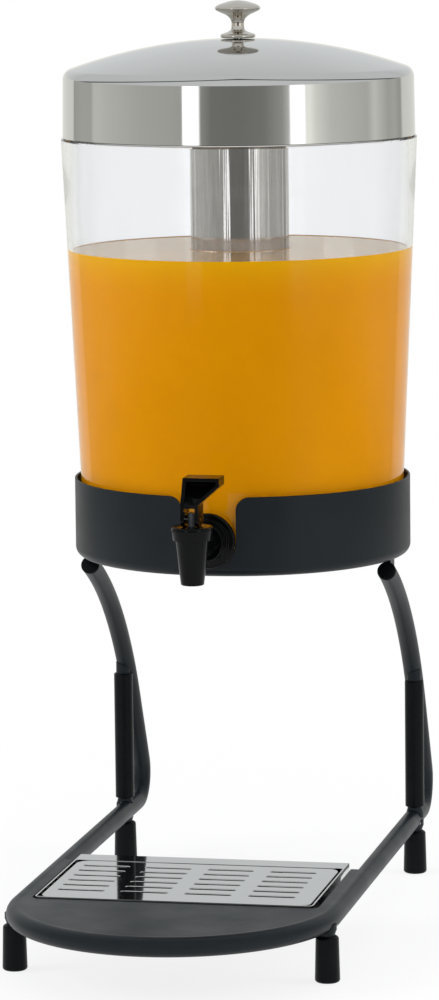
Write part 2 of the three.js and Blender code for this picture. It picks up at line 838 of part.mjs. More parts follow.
// The washer lies under the dome, which falls away from its middle
function addKnobScrew(group) {
  const [[, middle], [reach, lower]] = lidSurface(lidSheet);
  const fall = ((middle - lower) * washerRadius) / reach;
  const under = middle - fall - fit;
  const washerLow = under - washerThickness;
  const head = washerLow - fit;
  add(group, 'knob_washer', ring(screwRadius + fit, washerRadius, washerLow, under), ...steel);
  const shank = rod(screwRadius, head, domeTop + screwReach - fit);
  add(group, 'knob_screw', shank.add(rod(screwHeadRadius, head - screwHeadHeight, head)), ...steel);
}

// Tap: solids along the shank are turned about Z and laid ahead; the group sits on the shank's axis

function outerSealFront() {
  return wallRadius(tapAxis) + fit + sealThickness;
}

function innerSealBack() {
  const inner = wallRadius(tapAxis) - bodyWall;
  return Math.sqrt(inner ** 2 - sealRadius ** 2) - fit - sealThickness;
}

function addFlange(group) {
  const back = outerSealFront() + fit;
  const face = panRadius + fit;
  const front = face + flangeThickness;
  const hub = front + flangeHubThickness;
  const step = hub + flangeStepThickness;
  const bore = shankRadius + fit;
  const profile = [
    [bore, back],
    [sealRadius, back],
    [sealRadius, face],
    [flangeRadius, face],
    [flangeRadius, front - flangeRound],
    [flangeRadius - flangeRound, front],
    [flangeHubRadius, front],
    [flangeHubRadius, hub - flangeRound / 2],
    [flangeHubRadius - flangeRound / 2, hub],
    [flangeStepRadius, hub],
    [flangeStepRadius, step - flangeRound / 2],
    [flangeStepRadius - flangeRound / 2, step],
    [bore, step],
    [bore, back],
  ];
  add(group, 'tap_flange', ahead(turned(profile, middleSides)), ...glossBlack);
  return step;
}

function addSeals(group) {
  const bore = shankRadius + fit;
  const middle = tapAxis - containerBottom;
  const low = containerBottom - tapAxis;
  const outerCut = turned([
    [0, low], [wallRadius(containerBottom) + fit, low],
    [wallRadius(containerBottom + 2 * middle) + fit, middle], [0, middle],
  ]);
  const front = outerSealFront();
  const outer = ahead(ring(bore, sealRadius, front - 2 * sealThickness - fit, front)).subtract(outerCut);
  add(group, 'tap_seal_outer', outer, ...silicone);
  const back = innerSealBack();
  const gapRadius = wallRadius(tapAxis - sealRadius) - bodyWall - fit;
  const inside = rod(gapRadius, -2 * sealRadius, 2 * sealRadius, bigSides);
  const inner = ahead(ring(bore, sealRadius, back, back + 3 * sealThickness)).intersect(inside);
  add(group, 'tap_seal_inner', inner, ...silicone);
}

function addNut(group) {
  const high = innerSealBack() - fit;
  const low = high - nutThickness;
  const hexagon = rod(nutAcross / Math.sqrt(3), low, high, 6);
  const wide = rod(shankRadius + fit, low - overrun, high + overrun);
  add(group, 'tap_nut', ahead(hexagon.subtract(wide)), ...glossBlack);
  return low;
}

// Radius of the spout's cone, this far above the shank's axis
function spoutRadius(height) {
  const share = (height + spoutDrop) / (spoutTop + spoutDrop);
  return spoutTipRadius + (spoutTopRadius - spoutTipRadius) * share;
}

function addBody(group, flangeStep, nutBack) {
  const collarTop = spoutTop + bonnetHeight - bonnetPlate - fit;
  const cone = turned([
    [0, -spoutDrop],
    [spoutTipRadius - spoutRound, -spoutDrop],
    [spoutTipRadius, -spoutDrop + spoutRound],
    [spoutRadius(spoutTop - fit), spoutTop - fit],
    [collarRadius, spoutTop - fit],
    [collarRadius, collarTop],
    [0, collarTop],
  ], smallSides).translate([0, -spoutAhead, 0]);
  const barrel = ahead(rod(barrelRadius, flangeStep + fit, spoutAhead));
  const shank = ahead(rod(shankRadius, nutBack - shankTail, spoutAhead - chamberRadius));
  const chamber = rod(chamberRadius, -seatDrop, collarTop + overrun).translate([0, -spoutAhead, 0]);
  const outlet = rod(outletRadius, -spoutDrop - overrun, 0).translate([0, -spoutAhead, 0]);
  const bore = ahead(rod(shankBoreRadius, nutBack - shankTail - overrun, spoutAhead));
  const bonnetSpace = ring(collarRadius, bonnetRadius + fit, spoutTop - fit, collarTop + overrun)
    .translate([0, -spoutAhead, 0]);
  const body = cone.add(barrel).add(shank).subtract(bonnetSpace).subtract(chamber).subtract(outlet);
  add(group, 'tap_body', body.subtract(bore), ...glossBlack);
}

function addBonnet(group) {
  const low = spoutTop;
  const high = spoutTop + bonnetHeight;
  const inner = collarRadius + fit;
  const hole = stemRadius + fit;
  const profile = [
    [inner, low],
    [bonnetLowRadius, low],
    [bonnetRadius, high - 2 * bonnetBevel],
    [bonnetRadius, high - bonnetBevel],
    [bonnetRadius - bonnetBevel, high],
    [hole, high],
    [hole, high - bonnetPlate],
    [inner, high - bonnetPlate],
    [inner, low],
  ];
  add(group, 'tap_bonnet', turned(profile, middleSides), ...glossBlack).position.y = -spoutAhead;
}

// Heights of the valve's pieces above the shank's axis
const bonnetTop = spoutTop + bonnetHeight;
const pinHeight = bonnetTop + fit + leverHeel;
const cupBottom = -seatDrop + fit;
const cupTop = cupBottom + cupHeight;
const stemFlange = cupTop + fit + stemFlangeThickness;

function addStem(group) {
  const eye = rod(pinRadius + fit, -overrun, overrun).rotate([0, 90, 0]).translate([0, 0, pinHeight]);
  const bar = rod(stemRadius, cupBottom + cupHeight / 2, bonnetTop + stemAbove);
  const stop = rod(stemFlangeRadius, stemFlange - stemFlangeThickness, stemFlange);
  add(group, 'tap_stem', bar.add(stop).subtract(eye), 0x55585a, 0.4, 0).position.y = -spoutAhead;
}

function addCup(group) {
  const bore = stemRadius + fit;
  const socket = cupBottom + cupHeight / 2 - fit;
  const profile = [
    [0, cupBottom],
    [cupRadius - cupLip, cupBottom],
    [cupRadius, cupBottom + cupLip],
    [cupRadius, cupTop],
    [bore, cupTop],
    [bore, socket],
    [0, socket],
  ];
  add(group, 'tap_seat_cup', turned(profile, smallSides), ...silicone).position.y = -spoutAhead;
}

// The closing spring's centre line: even turns between the stem's flange and the bonnet
class Coil extends THREE.Curve {
  constructor(low, high) {
    super();
    Object.assign(this, { low, high });
  }

  getPoint(t, target = new THREE.Vector3()) {
    const turn = 2 * Math.PI * springTurns * t;
    const height = this.low + (this.high - this.low) * t;
    return target.set(springRadius * Math.cos(turn), springRadius * Math.sin(turn), height);
  }
}

function addSpring(group) {
  const margin = springWire + fit;
  const coil = new Coil(stemFlange + margin, bonnetTop - bonnetPlate - margin);
  add(group, 'tap_spring', tubeAlong(coil, springTurns * coilSteps, springWire, wireSides), ...steel).position.y = -spoutAhead;
}

function leverOutline(inset) {
  const half = leverWidth / 2;
  const top = leverHeight - inset;
  const cornerLow = leverHeight - leverTipHeight + inset / 2;
  return outline([
    [-half + inset, 0],
    [-half + inset, leverNeckHeight],
    [-half + leverLean + inset, top],
    [leverReach - inset, top],
    [leverReach - inset, cornerLow],
    [half - inset, leverNeckHeight + inset / 2],
    [half - inset, 0],
  ]);
}

function addLever(group) {
  const half = leverDepth / 2;
  const low = bonnetTop + fit;
  const inner = leverWidth / 2 - leverWall;
  const body = prismAlongY(leverOutline(0), -half, half);
  const slot = block(-inner, inner, -half - overrun, half + overrun, -overrun, leverSlotHeight);
  const scoopTop = leverHeight - leverWall;
  const scoop = outline([
    [-half - overrun, leverNeckHeight - overrun],
    [-half, leverNeckHeight],
    [-half + leverScoop, scoopTop - leverScoop / 3],
    [-half, scoopTop],
    [-half - overrun, scoopTop + leverScoop / 6],
  ]);
  const pocket = prismAlongX(scoop, -leverReach - overrun, leverReach + overrun)
    .intersect(prismAlongY(leverOutline(leverWall), -half - 2 * overrun, half));
  const side = outline([
    [-half, leverHeight + overrun],
    ...arcPoints(-half + leverHeel, leverHeel, leverHeel, 180, 270),
    ...arcPoints(half - leverHeel, leverHeel, leverHeel, 270, 360),
    [half, leverHeight + overrun],
  ]);
  const heels = prismAlongX(side, -leverReach - overrun, leverReach + overrun);
  const hole = rod(pinRadius + fit, -leverReach, leverReach).rotate([0, 90, 0]).translate([0, 0, leverHeel]);
  const lever = body.intersect(heels).subtract(slot).subtract(pocket).subtract(hole);
  add(group, 'tap_lever', lever.translate([0, -spoutAhead, low]), ...glossBlack);
  const pin = rod(pinRadius, -leverWidth / 2, leverWidth / 2).rotate([0, 90, 0]);
  add(group, 'tap_pivot_pin', pin.translate([0, -spoutAhead, pinHeight]), ...steel);
}

// Assembly

const stand = new THREE.Group();
addFrameTube(stand);
addLegCaps(stand);
addPosts(stand);
addFeet(stand);
addPan(stand);
addGussets(stand);
addDeck(stand);
addStraps(stand);
addTray(stand);
addGrille(stand);

const vessel = new THREE.Group();
addContainer(vessel);
addJuice(vessel);
addIceTube(vessel);
addLid(vessel);
addKnob(vessel);
addKnobScrew(vessel);

const tap = new THREE.Group();
tap.position.z = tapAxis;
const flangeStep = addFlange(tap);
addSeals(tap);
const nutBack = addNut(tap);
addBody(tap, flangeStep, nutBack);
addBonnet(tap);
addStem(tap);
addCup(tap);
addSpring(tap);
addLever(tap);

dispenser.add(stand, vessel, tap);
const footprint = new THREE.Box3().setFromObject(dispenser);
dispenser.position.y = -(footprint.min.y + footprint.max.y) / 2;

export default dispenser;
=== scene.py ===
import json
from math import asin, atan2, copysign, cos, degrees, pi, radians, sin, sqrt, tan

import bmesh
import bpy
from mathutils import Matrix, Vector


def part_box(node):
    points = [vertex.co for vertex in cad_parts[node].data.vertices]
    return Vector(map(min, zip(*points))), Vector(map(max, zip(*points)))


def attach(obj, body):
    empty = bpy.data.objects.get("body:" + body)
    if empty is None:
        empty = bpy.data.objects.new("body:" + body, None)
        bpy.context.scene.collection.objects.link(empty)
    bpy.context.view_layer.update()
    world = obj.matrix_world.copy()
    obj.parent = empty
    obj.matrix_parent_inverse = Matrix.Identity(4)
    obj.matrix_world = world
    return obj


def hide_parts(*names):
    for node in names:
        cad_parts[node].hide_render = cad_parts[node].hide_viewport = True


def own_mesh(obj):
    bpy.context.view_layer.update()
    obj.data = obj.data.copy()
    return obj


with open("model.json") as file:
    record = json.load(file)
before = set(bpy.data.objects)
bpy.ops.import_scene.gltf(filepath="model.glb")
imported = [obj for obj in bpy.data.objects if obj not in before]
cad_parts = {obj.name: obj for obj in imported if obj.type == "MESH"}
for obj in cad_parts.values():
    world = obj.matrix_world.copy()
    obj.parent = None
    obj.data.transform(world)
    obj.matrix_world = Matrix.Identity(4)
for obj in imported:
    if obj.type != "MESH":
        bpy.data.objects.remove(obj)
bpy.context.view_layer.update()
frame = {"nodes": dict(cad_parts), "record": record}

# Lengths are in metres and angles in degrees, unless a name says otherwise.

# Stand tube
tube_radius = 0.006
loop_ahead = 0.2124
leg_top_ahead = 0.018
leg_top_slope = 24
leg_low_slope = 62
leg_bend_radius = 0.230
heel_bend_radius = 0.018
cap_rim = 0.0016

# Posts, sleeves and feet
rod_radius = 0.0047
weld_flare = 0.0011
weld_height = 0.0035
saddle_depth = 0.0035
sleeve_wall = 0.0015
boot_round = 0.0018
boot_lip = 0.0006

# Pan
pan_wall = 0.0015
pan_corner = 0.006
pan_lip = 0.0005
pan_rise = 0.002
notch_corner = 0.0083

# Deck and tray
deck_sheet = 0.0012
deck_fillet = 0.010
arm_shortfall = 0.012
tray_front_gap = 0.001
cutout_corner = 0.006
tray_sheet = 0.001
tray_corner = 0.003
tray_ledge = 0.015
tray_ledge_lip = 0.005
edge_bevel = 0.0004
grille_sheet = 0.0012
grille_corner = 0.008
slot_length = 0.0292
slot_width = 0.004
slot_column_pitch = 0.0394
slot_row_pitch = 0.0136
slot_columns = 4
slot_rows = 6
slot_offset = 0.003
slot_end_margin = 0.0139

# Container
body_wall = 0.003
floor_wall = 0.004
base_corner = 0.005
neck_radius = 0.109
neck_wall = 0.0026
neck_height = 0.017
neck_round = 0.001
step_depth = 0.013
step_height = 0.030
base_radius = 0.1009
rim_radius = 0.1126
ledge_round = 0.0007
locator_height = 0.005
locator_wall = 0.0025
ice_radius = 0.0312
ice_wall = 0.001
ice_lip = 0.0016
ice_floor_round = 0.004
meniscus_height = 0.0004
meniscus_width = 0.003
juice_wetting = 0.0005
juice_lit_depth = 0.026

# Lid and knob
lid_sheet = 0.001
lid_hem = 0.0007
skirt_radius = 0.1115
skirt_top_radius = 0.1109
dome_radius = 0.320
shoulder_radius = 0.007
knob_radius = 0.0144
knob_bore = 0.0028
knob_bore_depth = 0.010

# Tap
seal_radius = 0.012
flange_radius = 0.0172
flange_thickness = 0.0034
hub_radius = 0.0136
hub_thickness = 0.004
hub_step_radius = 0.0116
flange_round = 0.0012
shank_radius = 0.0078
shank_bore = 0.0045
barrel_radius = 0.0082
spout_tip_radius = 0.0072
spout_top_radius = 0.0103
spout_round = 0.001
outlet_radius = 0.0042
chamber_radius = 0.007
chamber_floor_rise = 0.0108
collar_radius = 0.009
bonnet_low_radius = 0.0119
bonnet_top_radius = 0.0128
bonnet_bevel = 0.0012
bonnet_plate = 0.003
bonnet_edge_start = 15
stem_radius = 0.0024
lever_width = 0.011
lever_wall = 0.0021
lever_lean = 0.0017
lever_tip_height = 0.0054
lever_neck_height = 0.0132
lever_slot_height = 0.0114
lever_heel = 0.004
lever_scoop = 0.010
lever_round = 0.0005
pin_radius = 0.001
spring_wire = 0.00055
spring_radius = 0.0041
spring_turns = 5

# Fits shared by all pieces
fit = 0.0003
overrun = 0.004
same_place = 1e-6

# Depths of the surfaces' relief, and shares in the materials
peel_depth = 0.00006
rubber_depth = 0.0002
flow_depth = 0.0001
streak_depth = 0.0025
ripple_depth = 0.0002
line_share = 0.004
polish_share = 0.965
noise_low = 0.3
noise_high = 0.7
noise_roughness = 0.55

# Facets: sides of turned pieces, steps of arcs and of bevels
turn_sides = 192
small_sides = 64
tube_sides = 32
arc_steps = 10
lip_steps = 4
rim_steps = 5
soft_steps = 6
roll_steps = 8
shoulder_steps = 20
dome_steps = 24
bevel_steps = 3
sheet_bevel_steps = 2
sheet_bevel_angle = 50
path_step = 0.004

# Angles from which an edge shows sharp
sharp_angle = 30
sharp_round = 40
sharp_flat = 15
sharp_sheet = 6
sharp_wall = 25
sharp_knob = 45
sharp_spout = 35
sharp_lever = 12
sharp_coil = 50

# Camera, as fitted to the photograph
image_height = 1000
camera_azimuth = 11.95
camera_elevation = 8.001
camera_roll = -0.644
camera_focal_pixels = 4776.64
camera_distance = 3.05301
aim_right = -0.01487
aim_height = 0.25609

# Where the main pieces lie, from the frame
low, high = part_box("container")
axis_x = (low.x + high.x) / 2
axis_y = (low.y + high.y) / 2
container_bottom = low.z
neck_top = high.z
shoulder_height = neck_top - neck_height
floor_top = container_bottom + floor_wall
juice_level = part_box("juice")[1].z
axis = Vector((axis_x, axis_y, 0))

record = frame["record"]
body_of = {node: body for body, nodes in record["behaviour"]["bodies"].items() for node in nodes}


# Node helpers for the materials

even = (1, 1, 1)


def give(tree, node, inputs):
    """Sets each of these inputs of a node to a value, or links it from a socket."""
    for name, value in inputs.items():
        if isinstance(value, bpy.types.NodeSocket):
            tree.links.new(value, node.inputs[name])
        else:
            node.inputs[name].default_value = value
    return node


def make_node(tree, kind, inputs=None, **settings):
    made = tree.nodes.new(f"ShaderNode{kind}")
    for name, value in settings.items():
        setattr(made, name, value)
    return give(tree, made, inputs or {})


def new_material(name, inputs_of, *details):
    """A material with the inputs that a function makes in its node tree, from these details."""
    material = bpy.data.materials.new(name)
    material.use_nodes = True
    tree = material.node_tree
    give(tree, tree.nodes["Principled BSDF"], inputs_of(tree, *details))
    return material


def own_place(tree):
    """The place on the piece itself, in metres."""
    return make_node(tree, "TexCoord").outputs["Object"]


def noise(tree, stretch, scale, detail):
    """Noise over the piece, stretched by three factors, with this many waves to a metre."""
    mapping = make_node(tree, "Mapping", {"Vector": own_place(tree), "Scale": stretch})
    waves = {"Scale": scale, "Detail": detail, "Roughness": noise_roughness}
    waves["Vector"] = mapping.outputs["Vector"]
    return make_node(tree, "TexNoise", waves).outputs["Fac"]


def spread(tree, source, low_value, high_value, low_from=noise_low, high_from=noise_high):
    """Takes a range of the source, which is noise's own if none is given, to another range."""
    ranges = {"From Min": low_from, "From Max": high_from, "To Min": low_value, "To Max": high_value}
    return make_node(tree, "MapRange", {"Value": source, **ranges}).outputs["Result"]


def ramped(tree, source, stops):
    """A colour that goes through these stops as the source rises; each stop is (value, colour)."""
    ramp = make_node(tree, "ValToRGB", {"Fac": source})
    elements = ramp.color_ramp.elements
    while len(elements) < len(stops):
        elements.new(0.5)
    for element, (value, colour) in zip(elements, stops):
        element.position = value
        element.color = (*colour, 1)
    return ramp.outputs["Color"]


def tinted(tree, source, dark, light):
    return ramped(tree, source, [(noise_low, dark), (noise_high, light)])


def bumped(tree, source, strength, depth):
    relief = {"Height": source, "Strength": strength, "Distance": depth}
    return make_node(tree, "Bump", relief).outputs["Normal"]


def reckoned(tree, operation, first, second=0):
    """A Math node between two values, each a socket or a number."""
    return make_node(tree, "Math", {0: first, 1: second}, operation=operation).outputs[0]


def blended(tree, share, first, second, **settings):
    """From the first colour to the second as the share goes from 0 to 1."""
    colours = {"Factor": share, "A": first, "B": second}
    return make_node(tree, "Mix", colours, data_type="RGBA", **settings).outputs["Result"]


# Materials

def powder_coat(tree):
    """Satin black powder coat: a fine orange peel over a blue-black ground, slightly rubbed in places."""
    patches = noise(tree, even, 35, 3)
    return {
        "Base Color": tinted(tree, patches, (0.0038, 0.0066, 0.0092), (0.0056, 0.0094, 0.0124)),
        "Roughness": spread(tree, patches, 0.38, 0.46),
        "Normal": bumped(tree, noise(tree, even, 900, 3), 0.25, peel_depth),
        "Specular IOR Level": 0.22,
    }


def boot_rubber(tree):
    """Dipped rubber: deep black, half glossy, with a soft uneven surface."""
    waves = noise(tree, even, 160, 2)
    return {
        "Base Color": tinted(tree, waves, (0.0014, 0.0022, 0.0028), (0.0026, 0.0038, 0.0046)),
        "Roughness": spread(tree, noise(tree, even, 1400, 2), 0.27, 0.38),
        "Normal": bumped(tree, waves, 0.3, rubber_depth),
        "Specular IOR Level": 0.10,
    }


def gloss_plastic(tree):
    """Moulded black plastic, glossy, with faint flow marks and a few dull patches."""
    flow = noise(tree, (1, 1, 0.35), 120, 3)
    return {
        "Base Color": tinted(tree, flow, (0.0009, 0.0011, 0.0012), (0.0016, 0.0018, 0.0021)),
        "Roughness": spread(tree, flow, 0.06, 0.12),
        "Normal": bumped(tree, flow, 0.12, flow_depth),
        "Specular IOR Level": 0.12,
    }


def even_surface(tree, scale, detail, dark, light, smoothest, dullest, metallic=0):
    """A surface that one fine or cloudy noise varies in colour and roughness."""
    clouds = noise(tree, even, scale, detail)
    return {
        "Base Color": tinted(tree, clouds, dark, light),
        "Roughness": spread(tree, clouds, smoothest, dullest),
        "Metallic": metallic,
    }


def polished_steel(tree, tint, smoothest=0.035, dullest=0.07):
    """Mirror-polished metal: faint cloudy polish, so that reflections stay crisp."""
    darker = tuple(polish_share * c for c in tint)
    return even_surface(tree, 26, 4, darker, tint, smoothest, dullest, 1)


def brushed_steel(tree):
    """Drawn stainless: fine lines and broad streaks along the tube's length, over a fairly bright polish."""
    lines = noise(tree, (1, 1, 0.02), 1500, 3)
    streaks = noise(tree, (1, 1, 0.012), 150, 2)
    relief = reckoned(tree, "ADD", streaks, reckoned(tree, "MULTIPLY", lines, line_share))
    return {
        "Base Color": tinted(tree, lines, (0.50, 0.485, 0.47), (0.59, 0.575, 0.56)),
        "Roughness": spread(tree, noise(tree, (1, 1, 0.3), 60, 3), 0.07, 0.11),
        "Normal": bumped(tree, relief, 0.5, streak_depth),
        "Metallic": 1,
    }


def clear_plastic(tree):
    """Clear polycarbonate with hairline scuffs."""
    scuffs = noise(tree, (1, 1, 0.25), 90, 5)
    return {
        "Base Color": tinted(tree, scuffs, (0.924, 0.931, 0.940), (0.936, 0.943, 0.952)),
        "Roughness": spread(tree, scuffs, 0, 0.03, 0.45, 0.8),
        "Transmission Weight": 1,
        "IOR": 1.27,
    }


def lit_from_above(tree, colour, painted_light_colour):
    """The juice's colour, which turns into another, lighter one just under the air: painted light, where
    light gets in from above.
    """
    split = make_node(tree, "SeparateXYZ", {0: own_place(tree)})
    lit = spread(tree, split.outputs["Z"], 0, 1, juice_level - juice_lit_depth, juice_level)
    return blended(tree, reckoned(tree, "MULTIPLY", lit, lit), colour, (*painted_light_colour, 1))


def juice_liquid(tree, dark, light, gloss, painted_light_colour=None):
    """Cloudy orange juice: opaque and slightly uneven, with a wet gloss where it meets the air, and painted
    light just under the air when a colour for it is given.
    """
    colour = tinted(tree, noise(tree, (1, 1, 0.6), 14, 3), dark, light)
    return {
        "Base Color": lit_from_above(tree, colour, painted_light_colour) if painted_light_colour else colour,
        "Roughness": spread(tree, noise(tree, even, 420, 2), 0.05, 0.09),
        "Normal": bumped(tree, noise(tree, even, 40, 1), 0.05, ripple_depth),
        "Specular IOR Level": gloss,
        "IOR": 1.35,
    }


paint = new_material("powder_coat", powder_coat)
rubber = new_material("boot_rubber", boot_rubber)
black_gloss = new_material("gloss_plastic", gloss_plastic)
stem_grey = new_material(
    "grey_plastic", even_surface, 700, 3, (0.075, 0.080, 0.085), (0.105, 0.110, 0.118), 0.34, 0.46,
)
seal_white = new_material("silicone", even_surface, 500, 3, (0.58, 0.58, 0.56), (0.68, 0.68, 0.66), 0.5, 0.65)
mirror = new_material("mirror_steel", polished_steel, (0.585, 0.590, 0.578))
tray_steel = new_material("tray_steel", polished_steel, (0.530, 0.536, 0.526))
nickel = new_material("nickel_knob", polished_steel, (0.57, 0.54, 0.49), 0.03, 0.06)
drawn = new_material("brushed_steel", brushed_steel)
clear = new_material("clear_plastic", clear_plastic)
orange_surface = new_material("juice_surface", juice_liquid, (0.77, 0.360, 0.02), (0.82, 0.400, 0.04), 0.5)
# The juice behind the wall gets painted light: its last colour is painted in just under the air, where light
# gets in from above.
orange_wetting = new_material(
    "juice_behind_wall", juice_liquid, (0.78, 0.316, 0.0006), (0.83, 0.341, 0.0012), 0, (0.87, 0.44, 0.003),
)


# Mesh helpers

def shares(count):
    """The shares of a whole at the ends of this many equal steps."""
    return [i / count for i in range(count + 1)]


def direction(angle):
    """The level direction at an angle in radians from X."""
    return Vector((cos(angle), sin(angle), 0))


def heights(node):
    """The lowest and the highest Z of a CAD node."""
    return [corner.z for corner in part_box(node)]


def level_middle(node):
    """The middle of a CAD node's box, at height zero."""
    low_corner, high_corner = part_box(node)
    return Vector(((low_corner.x + high_corner.x) / 2, (low_corner.y + high_corner.y) / 2, 0))


def arc(centre, radius, start, end, steps=arc_steps):
    """Points on an arc of a profile, from one angle to another in degrees."""
    angles = [radians(start + (end - start) * share) for share in shares(steps)]
    return [(centre[0] + radius * cos(a), centre[1] + radius * sin(a)) for a in angles]


def rounded(corner, radius, start, steps=arc_steps):
    """A quarter arc that rounds a profile's corner, from this angle on."""
    middle = radians(start + 45)
    across = copysign(radius, cos(middle))
    up = copysign(radius, sin(middle))
    return arc((corner[0] - across, corner[1] - up), radius, start, start + 90, steps)


def smooth_line(points):
    """A Catmull-Rom curve through the points of a profile."""
    made = []
    last = len(points) - 1
    for i in range(last):
        p = [Vector(points[min(max(k, 0), last)]) for k in (i - 1, i, i + 1, i + 2)]
        for t in shares(soft_steps)[:-1]:
            bend = (2 * p[0] - 5 * p[1] + 4 * p[2] - p[3]) * t * t
            curl = (3 * p[1] - p[0] - 3 * p[2] + p[3]) * t * t * t
            made.append(tuple((2 * p[1] + (p[2] - p[0]) * t + bend + curl) / 2))
    return made + [tuple(points[last])]


def placed(name, data):
    """An object in the scene that shows this data."""
    made = bpy.data.objects.new(name, data)
    bpy.context.scene.collection.objects.link(made)
    return made


def tidied(piece):
    """Merges points that lie in one place, and turns all faces outwards."""
    shape = bmesh.new()
    shape.from_mesh(piece.data)
    bmesh.ops.remove_doubles(shape, verts=shape.verts, dist=same_place)
    bmesh.ops.recalc_face_normals(shape, faces=shape.faces)
    shape.to_mesh(piece.data)
    shape.free()
    return piece


def object_of(name, vertices, faces):
    mesh = bpy.data.meshes.new(name)
    mesh.from_pydata([tuple(v) for v in vertices], [], faces)
    return tidied(placed(name, mesh))


def turned(name, profile, sides=turn_sides):
    """A turned solid about Z. Its profile of (radius, height) ends on the axis or closes on itself."""
    rings, vertices, faces = [], [], []
    for radius, height in profile:
        count = 1 if radius < same_place else sides
        rings.append([len(vertices) + i for i in range(count)])
        for i in range(count):
            angle = 2 * pi * i / sides
            vertices.append((radius * cos(angle), radius * sin(angle), height))
    following = rings[1:] + (rings[:1] if len(rings[0]) > 1 else [])
    for a, b in zip(rings, following):
        for i in range(sides):
            j = (i + 1) % sides
            corners = [a[i % len(a)], a[j % len(a)], b[j % len(b)], b[i % len(b)]]
            faces.append(list(dict.fromkeys(corners)))
    return object_of(name, vertices, [f for f in faces if len(f) > 2])


def cylinder(name, radius, low_end, high_end, sides=small_sides):
    return turned(name, [(0, low_end), (radius, low_end), (radius, high_end), (0, high_end)], sides)


def run_faces(rings, size):
    """The faces of a run of rings with this many points each, with both ends closed."""
    faces = []
    for ring in range(rings - 1):
        for i in range(size):
            j = (i + 1) % size
            a, b = ring * size, (ring + 1) * size
            faces.append([a + i, a + j, b + j, b + i])
    last = (rings - 1) * size
    return faces + [list(range(size)), [last + i for i in range(size)]]


def swept(name, line, radius, sides=tube_sides):
    """A round tube with flat ends along a line, which is given as (point, tangent)."""
    vertices = []
    side = line[0][1].orthogonal().normalized()
    for point, tangent in line:
        side = (side - tangent * side.dot(tangent)).normalized()
        across = tangent.cross(side)
        for i in range(sides):
            angle = 2 * pi * i / sides
            vertices.append(point + radius * (cos(angle) * side + sin(angle) * across))
    return object_of(name, vertices, run_faces(len(line), sides))


def prism(name, outline, near, far, place):
    """An outline run between two depths. place turns (u, v, depth) into a point."""
    count = len(outline)
    vertices = [place(u, v, depth) for depth in (near, far) for u, v in outline]
    faces = [list(range(count)), [count + i for i in range(count)]]
    for i in range(count):
        j = (i + 1) % count
        faces.append([i, j, count + j, count + i])
    return object_of(name, vertices, faces)


def flat(u, v, depth):
    return (u, v, depth)


def facing(u, v, depth):
    return (u, depth, v)


def sideways(u, v, depth):
    return (depth, u, v)


def rectangle(x0, x1, y0, y1, radius=0):
    """A rectangle's outline, with round corners if a radius is given."""
    corners = [(x0, y0), (x1, y0), (x1, y1), (x0, y1)]
    if not radius:
        return corners
    turns = zip(corners[1:] + corners[:1], (-90, 0, 90, 180))
    return [point for corner, start in turns for point in rounded(corner, radius, start)]


def evaluated_mesh(source):
    graph = bpy.context.evaluated_depsgraph_get()
    return bpy.data.meshes.new_from_object(source.evaluated_get(graph))


def bake(piece):
    """Applies the piece's modifiers."""
    made = evaluated_mesh(piece)
    piece.modifiers.clear()
    piece.data = made


def combine(piece, other, operation):
    modifier = piece.modifiers.new("combine", "BOOLEAN")
    modifier.operation = operation
    modifier.object = other
    modifier.solver = "EXACT"
    bake(piece)
    bpy.data.objects.remove(other)
    return piece


def cut(piece, other):
    return combine(piece, other, "DIFFERENCE")


def join(piece, other):
    return combine(piece, other, "UNION")


def bevelled(piece, width, segments, angle):
    modifier = piece.modifiers.new("bevel", "BEVEL")
    modifier.width = width
    modifier.segments = segments
    modifier.limit_method = "ANGLE"
    modifier.angle_limit = radians(angle)
    modifier.use_clamp_overlap = True
    bake(piece)
    return piece


def move(piece, place, turn=None):
    """Moves the mesh itself, after an optional turn."""
    matrix = Matrix.Translation(place)
    piece.data.transform(matrix @ turn if turn else matrix)
    return piece


ahead = Matrix.Rotation(radians(90), 4, "X")


def shaped(node, profile, place, sides=turn_sides):
    """The finer turned mesh for a CAD node, at its place."""
    return move(turned(f"{node}_fine", profile, sides), place)


def dress(piece, node, material, sharp=sharp_angle):
    """Gives a piece its material and shading, and lets it stand for its CAD node."""
    piece.data.materials.clear()
    piece.data.materials.append(material)
    for face in piece.data.polygons:
        face.use_smooth = True
        face.material_index = 0
    piece.data.set_sharp_from_angle(angle=radians(sharp))
    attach(piece, body_of[node])
    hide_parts(node)


def keep_node(node, material):
    """A CAD node that shows as it is, with a better material."""
    shown = frame["nodes"][node]
    shown.data.materials.clear()
    shown.data.materials.append(material)


# Stand: the tube's centre line, in the same steps as the real bends

tube_low, tube_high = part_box("frame_tube")
tube_height = tube_low.z + tube_radius
deck_low, deck_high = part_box("deck_plate")
deck_top = deck_high.z
pan_low, pan_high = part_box("cradle_pan")
gusset_low, gusset_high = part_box("pan_gusset_right")
tube_half_span = (gusset_low.x + gusset_high.x) / 2 - axis_x
leg_top_height = pan_low.z - pan_rise - tube_radius


def leg_point(slope):
    """The leg's centre line in its side view, where it slopes this much: (behind the axis, height)."""
    run = sin(radians(slope)) - sin(radians(leg_top_slope))
    fall = cos(radians(leg_top_slope)) - cos(radians(slope))
    return leg_bend_radius * run - leg_top_ahead, leg_top_height - leg_bend_radius * fall


def steps_for(length):
    return max(1, round(length / path_step))


